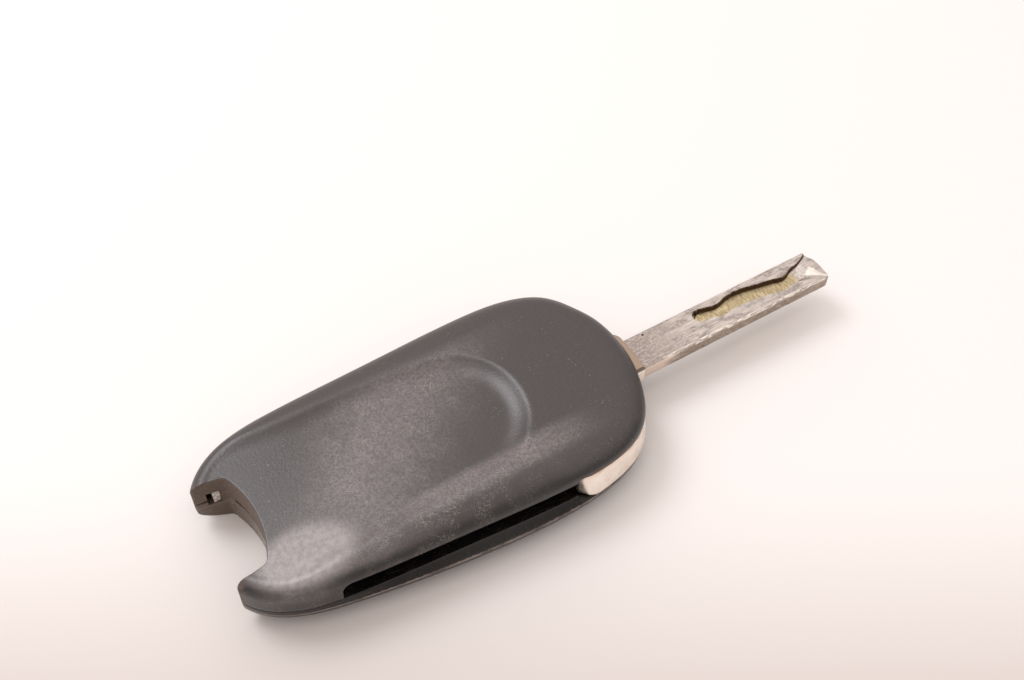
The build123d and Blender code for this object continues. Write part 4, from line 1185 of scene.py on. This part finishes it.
def flat_depth(u, v):
    """How far the flat lies below its ground plane: the milled track with its round inner end and
    its run-out at the tip, the tip's bevel, the rounded ridges and small nicks in the near one."""
    scallop = SCALLOP_DEPTH * np.abs(np.sin(u * math.pi / SCALLOP)) + 0.05 * ripple(u * 1.9, v * 0, 5)
    far = smooth_value(TRACK_FAR, u) - scallop
    near = smooth_value(TRACK_NEAR, u) + scallop
    within = np.minimum(far - v, v - near)
    end = np.array([TRACK_END + TRACK_END_RADIUS, TRACK_MIDDLE])
    round_end = TRACK_END_RADIUS - np.hypot(u - end[0], v - end[1])
    within = np.where(u < end[0], round_end, np.maximum(within, round_end))
    run_out = ease(u, *TRACK_RUN_OUT)
    near_side = ease(v - near, -0.05 - 1.2 * run_out, 0.1 + 0.9 * run_out)
    far_side = ease(far - v, -0.03, 0.12)
    walls = np.where(u < end[0], ease(within, -0.04, 0.12), np.minimum(near_side, far_side))
    arcs = np.sin(13.0 * (u + 0.25 * (v - (far + near) / 2) ** 2) + 2.5 * ripple(u, v, 4))
    depth = TRACK_DEPTH * walls * (1 + 0.012 * arcs + 0.05 * ripple(u * 2.2, v * 2.2, 9))
    depth = depth * (1 - TRACK_SHALLOWER * ease(u, 35.0, 39.6))
    start, end = np.array(TIP_ARRIS)
    normal = np.array([end[1] - start[1], start[0] - end[0]]) / np.hypot(*(end - start))
    beyond = -(u - start[0]) * normal[0] - (v - start[1]) * normal[1]
    bevel = np.clip(beyond, 0, TIP_BEVEL_WIDTH) * ease(far - v, 0.0, 0.5)
    bevel = bevel * ease(u, TIP_BEVEL_START - 1.5, TIP_BEVEL_START)
    depth = np.maximum(depth, TIP_BEVEL_SLOPE * bevel + 0.01 * ripple(u * 5, v * 5, 3) * (bevel > 0))
    for edge, radius in zip((v + BLADE_HALF, BLADE_HALF - v), BLADE_EDGE_RADII):
        radius = radius * (1 + 0.5 * ripple(u * 2.4, v, 7))
        missing = np.clip(1 - edge / radius, 0, 1)
        depth = depth + radius * (1 - np.sqrt(1 - missing**2))
    nick = np.clip(ripple(u * 5.5, v * 0, 21) - 0.35, 0, 1) * np.exp(-(((v + BLADE_HALF) / 0.3) ** 2))
    return depth + NICK_DEPTH * nick + 0.006 * ripple(u * 1.2, v * 1.2, 2)


def blade_end(v):
    """Where the blade ends at each offset across it."""
    share, back = np.array(TIP_LINE).T
    return BLADE_LENGTH - np.interp(v / BLADE_HALF, share, back)


middle = np.arange(-BLADE_HALF + 0.1, BLADE_HALF - 0.09, BLADE_STEP)
across = np.concatenate([[-BLADE_HALF, -BLADE_HALF + 0.05], middle, [BLADE_HALF - 0.05, BLADE_HALF]])
along = np.linspace(0, BLADE_LENGTH, int(BLADE_LENGTH / BLADE_STEP))
u, v = np.meshgrid(along, across, indexing="ij")
drawn_in = (u - TIP_FROM) * (blade_end(v) - TIP_FROM) / (BLADE_LENGTH - TIP_FROM)
u = np.where(u > TIP_FROM, TIP_FROM + drawn_in, u)
half_thick = BLADE_THICK / 2
upper = half_thick - flat_depth(u, v)
lower = -half_thick + flat_depth(u, -v)
side_shares = (0.2, 0.4, 0.6, 0.8)


def narrow_side(column, start, end):
    """Rows of points down one narrow side, between the edges of the two flats."""
    a, b = start[:, column], end[:, column]
    side = [(u[:, column], v[:, column], a + (b - a) * share) for share in side_shares]
    return np.array(side).transpose(2, 0, 1)


section = np.concatenate([
    np.stack([u, v, upper], -1),
    narrow_side(-1, upper, lower),
    np.stack([u, v, lower], -1)[:, ::-1],
    narrow_side(0, lower, upper),
], axis=1)
shank_share = np.array([0.0, SHANK_HALF[0] / BLADE_HALF, SHANK_HALF[1] / half_thick])
shank_root = section[0] * shank_share
shank_end = shank_root - [SHANK_LENGTH, 0, 0]
section = np.concatenate([[shank_end], [shank_root], section])


def in_blade_line(points):
    """Moves points given along, across and above the blade's middle line to their place in the row."""
    flat = turned(points[..., :2].reshape(-1, 2) + [COLLAR_REACH, BLADE_LINE], SKEW)
    return np.concatenate([flat.reshape(*points.shape[:-1], 2), points[..., 2:] + BLADE_Z], -1)


# Nickel silver: a pale grey alloy with a warm cast, ground along its length, so it shines in streaks.
# Keys and pockets have scuffed it; the milled track shows the brassy bare metal, and its far wall is dark brown.
# Painted highlights lie on the near ridge and the tip's facet, and a painted reflection creams the sides.
silver, tree, shader, place = material("nickel silver, ground", Metallic=1.0)
line = add(tree, "VectorMath", "SUBTRACT", place, (*PIVOT, BLADE_Z))
line = stretched(tree, line, (1.0, 1.0, 1.0), -math.degrees(SKEW))
along_blade = add(tree, "SeparateXYZ", line, out="X")
streak = add(tree, "TexNoise", stretched(tree, line, (2.6, 0.10, 0.10)), 1.0, 2.0)
scuff = add(tree, "TexNoise", stretched(tree, line, (0.6, 0.35, 0.35)), 1.0, 3.0)
cloud = add(tree, "TexNoise", stretched(tree, line, (3.0, 1.3, 1.3)), 1.0, 3.0)
dashes = add(tree, "TexNoise", stretched(tree, line, (1.5, 0.6, 0.6)), 1.0, 2.0)
milling = add(tree, "TexNoise", stretched(tree, line, (0.25, 1.1, 1.1)), 1.0, 2.0)
carried = ("cut", "wall", "ridge")
cut, wall, ridge = (add(tree, "Attribute", attribute_name=name, out="Fac") for name in carried)
sideways = add(tree, "SeparateXYZ", add(tree, "TexCoord", out="Normal"), out="Y")
side = add(tree, "MapRange", add(tree, "Math", "ABSOLUTE", sideways), 0.6, 0.85)
colour = add(tree, "Mix", add(tree, "MapRange", streak, 0.25, 0.75), "#aea8a4", "#e6dfda")
near_root = add(tree, "Math", "MULTIPLY_ADD", cloud, 5.0, along_blade)
colour = stained(tree, colour, "#978e89", within(tree, (near_root, 26.0, 13.0), (scuff, 0.4, 0.6, 0.45, 0.9)))
dirt = within(tree, (cloud, 0.42, 0.62), (scuff, 0.35, 0.65, 0.3), (along_blade, 13.0, 20.0))
colour = stained(tree, colour, "#756e69", dirt, 0.6)
# Painted reflection: faces turned sideways are painted cream
colour = stained(tree, colour, "#f0dccb", side, 0.7)
# The sideways faces turn a darker brown-grey further from the root
off_root = add(tree, "Math", "MULTIPLY_ADD", cloud, 6.0, along_blade)
side_darker_out = within(tree, (off_root, 17.0, 20.5), (scuff, 0.3, 0.7, 0.6, 0.95))
colour = stained(tree, colour, "#85766a", side_darker_out, side)
# Painted highlight: a bright broken line along the near ridge, and the tip's facet
colour = stained(tree, colour, "#fffaf2", ridge, add(tree, "MapRange", dashes, 0.46, 0.6, 0.15, 0.9))
brass = add(tree, "Mix", add(tree, "MapRange", milling, 0.35, 0.65), "#ad9f80", "#d6c9a4")
colour = stained(tree, colour, brass, add(tree, "MapRange", cut, 0.55, 0.95))
# The track's far wall is painted dark brown
colour = stained(tree, colour, "#4a3321", add(tree, "MapRange", wall, 0.15, 0.6), 0.85)
colour = stained(tree, colour, "#4a2618", near_place(tree, place, ROOT_NICK, ROOT_NICK_RADIUS))
rough = add(tree, "Math", "MULTIPLY_ADD", dirt, 0.15, add(tree, "MapRange", cloud, 0.3, 0.7, 0.28, 0.38))
finish(tree, shader, colour, rough, (streak, 0.008), (scuff, 0.014), (cloud, 0.02))

blade = Surface()
blade.grid(in_blade_line(section), True, True)
count = len(across)
ring = section.shape[1]
steps = len(side_shares)
under = np.arange(2 * count + steps - 1, count + steps - 1, -1)
ladder = [(k, k + 1, under[k + 1], under[k]) for k in range(1, count - 2)]
ladder.append((0, 1, under[1], under[0], *range(under[0] + 1, ring)))
ladder.append((count - 2, *range(count - 1, count + steps), under[count - 1], under[count - 2]))
for end, turn in ((section[0], 1), (section[-1], -1)):
    blade.put(in_blade_line(end), [face[::turn] for face in ladder])
cut_share, wall_share, ridge_highlight_share = (np.zeros(section.shape[:2]) for _ in range(3))
for columns, turn in ((slice(0, count), 1), (slice(count + steps, 2 * count + steps), -1)):
    flat_u, flat_v = section[2:, columns, 0], section[2:, columns, 1] * turn
    sunk = half_thick - np.abs(section[2:, columns, 2])
    to_wall = smooth_value(TRACK_FAR, flat_u) - flat_v
    in_track = (to_wall > -0.1) & (flat_v > smooth_value(TRACK_NEAR, flat_u) - 0.6)
    milled = np.where(in_track, np.clip(sunk / TRACK_DEPTH, 0, 1), 0)
    cut_share[2:, columns] = milled * ease(flat_u, 39.5, 34.0)
    wall_share[2:, columns] = ease(np.abs(to_wall - 0.08), 0.34, 0.1) * (sunk > 0.08) * (flat_u < 39.9)
    to_arris = (flat_u - TIP_ARRIS[0][0]) * FACET_WAY[0] + (flat_v - TIP_ARRIS[0][1]) * FACET_WAY[1]
    to_tip = np.hypot(flat_u - FACET_CORNER[0], flat_v - FACET_CORNER[1])
    facet_highlight = ease(to_arris, 0.0, 0.12) * ease(to_arris / to_tip, 0.55, 0.45) * ease(to_tip, 4.5, 4.0)
    # Where the painted highlight lies: the tip's facet and the near ridge
    edge = ease(flat_v, -BLADE_HALF + 0.5, -BLADE_HALF + 0.3) * ease(flat_u, 3.0, 6.0)
    ridge_highlight_share[2:, columns] = np.maximum(6.0 * facet_highlight, edge)
shares = {"cut": cut_share, "wall": wall_share, "ridge": ridge_highlight_share}
values = {key: np.append(share.ravel(), np.zeros(2 * ring)) for key, share in shares.items()}
made_blade = blade.object("key_blade_shell", silver, 35, values=values)
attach(made_blade, "blade")
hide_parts("key_blade")


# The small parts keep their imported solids. Each gets the look of its own stuff: two tones of a fine
# noise, an uneven shine and a slight relief.
def dress(node, made):
    """Gives a carried-over solid its material."""
    mesh = nodes[node].data
    mesh.materials.clear()
    mesh.materials.append(made)


def stuff(name, dark, light, size, rough, depth, metal=0.0, sizes=None):
    """A material of two tones, mottled at a size, or at sizes along three axes for drawn stuff."""
    made, tree, shader, place = material(name, Metallic=metal)
    pattern = add(tree, "TexNoise", stretched(tree, place, sizes or (size, size, size)), 1.0, 3.0)
    colour = add(tree, "Mix", add(tree, "MapRange", pattern, 0.3, 0.7), dark, light)
    shine = add(tree, "MapRange", pattern, 0.25, 0.75, rough * 0.8, rough * 1.2)
    finish(tree, shader, colour, shine, (pattern, depth))
    return made


def ringed(name, centre, ring, detail, depth, haze_size, tones, rough):
    """A metal with fine rings of a width and depth round a centre, as a lathe or a brush leaves them,
    under a faint haze in two tones and two degrees of roughness."""
    made, tree, shader, place = material(name, Metallic=1.0)
    away = add(tree, "CombineXYZ", add(tree, "VectorMath", "DISTANCE", place, centre))
    haze = add(tree, "TexNoise", place, 1 / haze_size, 3.0)
    colour = add(tree, "Mix", add(tree, "MapRange", haze, 0.3, 0.7), *tones)
    rings = add(tree, "TexNoise", away, 1 / ring, detail)
    finish(tree, shader, colour, add(tree, "MapRange", haze, 0.3, 0.7, *rough), (rings, depth))
    return made


# Blade pin: rolled spring steel strip, blued by its hardening, pressed through head and shank.
blued_steel = stuff("hardened spring steel", "#4a4b50", "#7c7d84", 0.6, 0.32, 0.004, 1.0, (0.15, 0.15, 2.0))
dress("blade_pin", blued_steel)

# Both springs: music wire, drawn through a die, so its shine runs in fine lines along the wire.
music_wire = stuff("drawn music wire", "#77736f", "#aaa6a1", 0.3, 0.28, 0.003, 1.0, (0.4, 0.4, 0.12))
for name in ("flip_spring", "return_spring"):
    dress(name, music_wire)

# Release button: turned aluminium with a satin finish, whose fine lathe rings soften its shine.
satin = ringed("turned aluminium, satin", (*PIVOT, 0.5), 0.12, 1.0, 0.004, 1.5,
               ("#b9b7b4", "#d2d0cc"), (0.3, 0.42))
dress("release_button", satin)

# Function buttons: matt black ABS with a finer grain than the case, rubbed a little grey.
button_plastic = stuff("black ABS, fine grain", "#141212", "#262322", 0.25, 0.55, 0.012)
for name in ("lock_button", "unlock_button", "boot_button"):
    dress(name, button_plastic)

# Keypad: moulded silicone rubber, dark grey and dull, with a faint bloom.
dress("keypad", stuff("silicone rubber", "#2b2b2c", "#3d3d3e", 1.2, 0.7, 0.008))

# Circuit board: glass-fibre laminate under green solder mask. Copper tracks show as paler lines
# about 0.3 mm wide, on a rectangular layout, with a faint weave of the glass.
mask, tree, shader, place = material("green solder mask on laminate", Specular_IOR_Level=0.5, Coat_Weight=0.4)
tracks = add(tree, "TexBrick", out="Fac", Vector=place, Scale=1.0, Mortar_Size=0.15, Mortar_Smooth=0.1,
             Brick_Width=3.4, Row_Height=1.7)
weave = add(tree, "TexNoise", stretched(tree, place, (0.9, 0.25, 0.25)), 1.0, 1.0)
colour = add(tree, "Mix", add(tree, "MapRange", weave, 0.3, 0.7), "#0f3a22", "#154a2c")
colour = stained(tree, colour, "#2c6d40", tracks)
finish(tree, shader, colour, add(tree, "MapRange", weave, 0.3, 0.7, 0.3, 0.4), (tracks, 0.03))
dress("circuit_board", mask)

# Push switches: small cans stamped from tinned steel, bright with soft rolling lines.
tinned_steel = stuff("stamped tinned steel", "#a9a9a8", "#cfcfcd", 0.5, 0.25, 0.004, 1.0, (0.9, 0.15, 0.9))
for name in ("lock_switch", "unlock_switch", "boot_switch"):
    dress(name, tinned_steel)

# Coin cell: a can of stainless steel, spun and brushed in circles about its middle.
CELL_MIDDLE = (-10.5, 3.5, 6.0)
stainless = ringed("stainless steel, brushed in circles", CELL_MIDDLE, 0.1, 2.0, 0.006, 2.0,
                   ("#b4b2ae", "#d0cecb"), (0.22, 0.34))
dress("coin_cell", stainless)

# Cell contacts: phosphor bronze strip under nickel plate, bent cold; yellowish, with rolling lines.
plated_bronze = stuff("nickel-plated phosphor bronze", "#bdb39a", "#d8d0ba", 0.6, 0.28, 0.004, 1.0,
                      (2.5, 0.2, 2.5))
for name in ("negative_contact", "positive_contact"):
    dress(name, plated_bronze)

# Main chip and transponder: black moulded epoxy, matt from its glass filler.
epoxy = stuff("black moulded epoxy", "#141415", "#232325", 0.3, 0.6, 0.008)
for name in ("main_chip", "transponder"):
    dress(name, epoxy)

# Radio crystal: a drawn steel can with a dull nickel finish.
dress("radio_crystal", stuff("nickel-plated steel can", "#b3b0ab", "#cdcac5", 0.8, 0.3, 0.004, 1.0))

# Low-band coil: sintered ferrite, dark grey and slightly grainy, as pressed powder is.
dress("low_band_coil", stuff("sintered ferrite", "#2c2b2d", "#454347", 0.2, 0.55, 0.015))

# Capacitors: fired ceramic, tan, with a fine eggshell surface.
dress("capacitors", stuff("fired ceramic", "#9c7f5e", "#b99a76", 0.2, 0.4, 0.006))

# Keyring bar's stub: the broken end of a steel bar, bright where it tore, rough and a little dirty.
dress("ring_bar_stub", stuff("torn steel", "#b5aca4", "#f2ede8", 0.5, 0.35, 0.05, 1.0))


bpy.context.scene.view_settings.view_transform = "Standard"
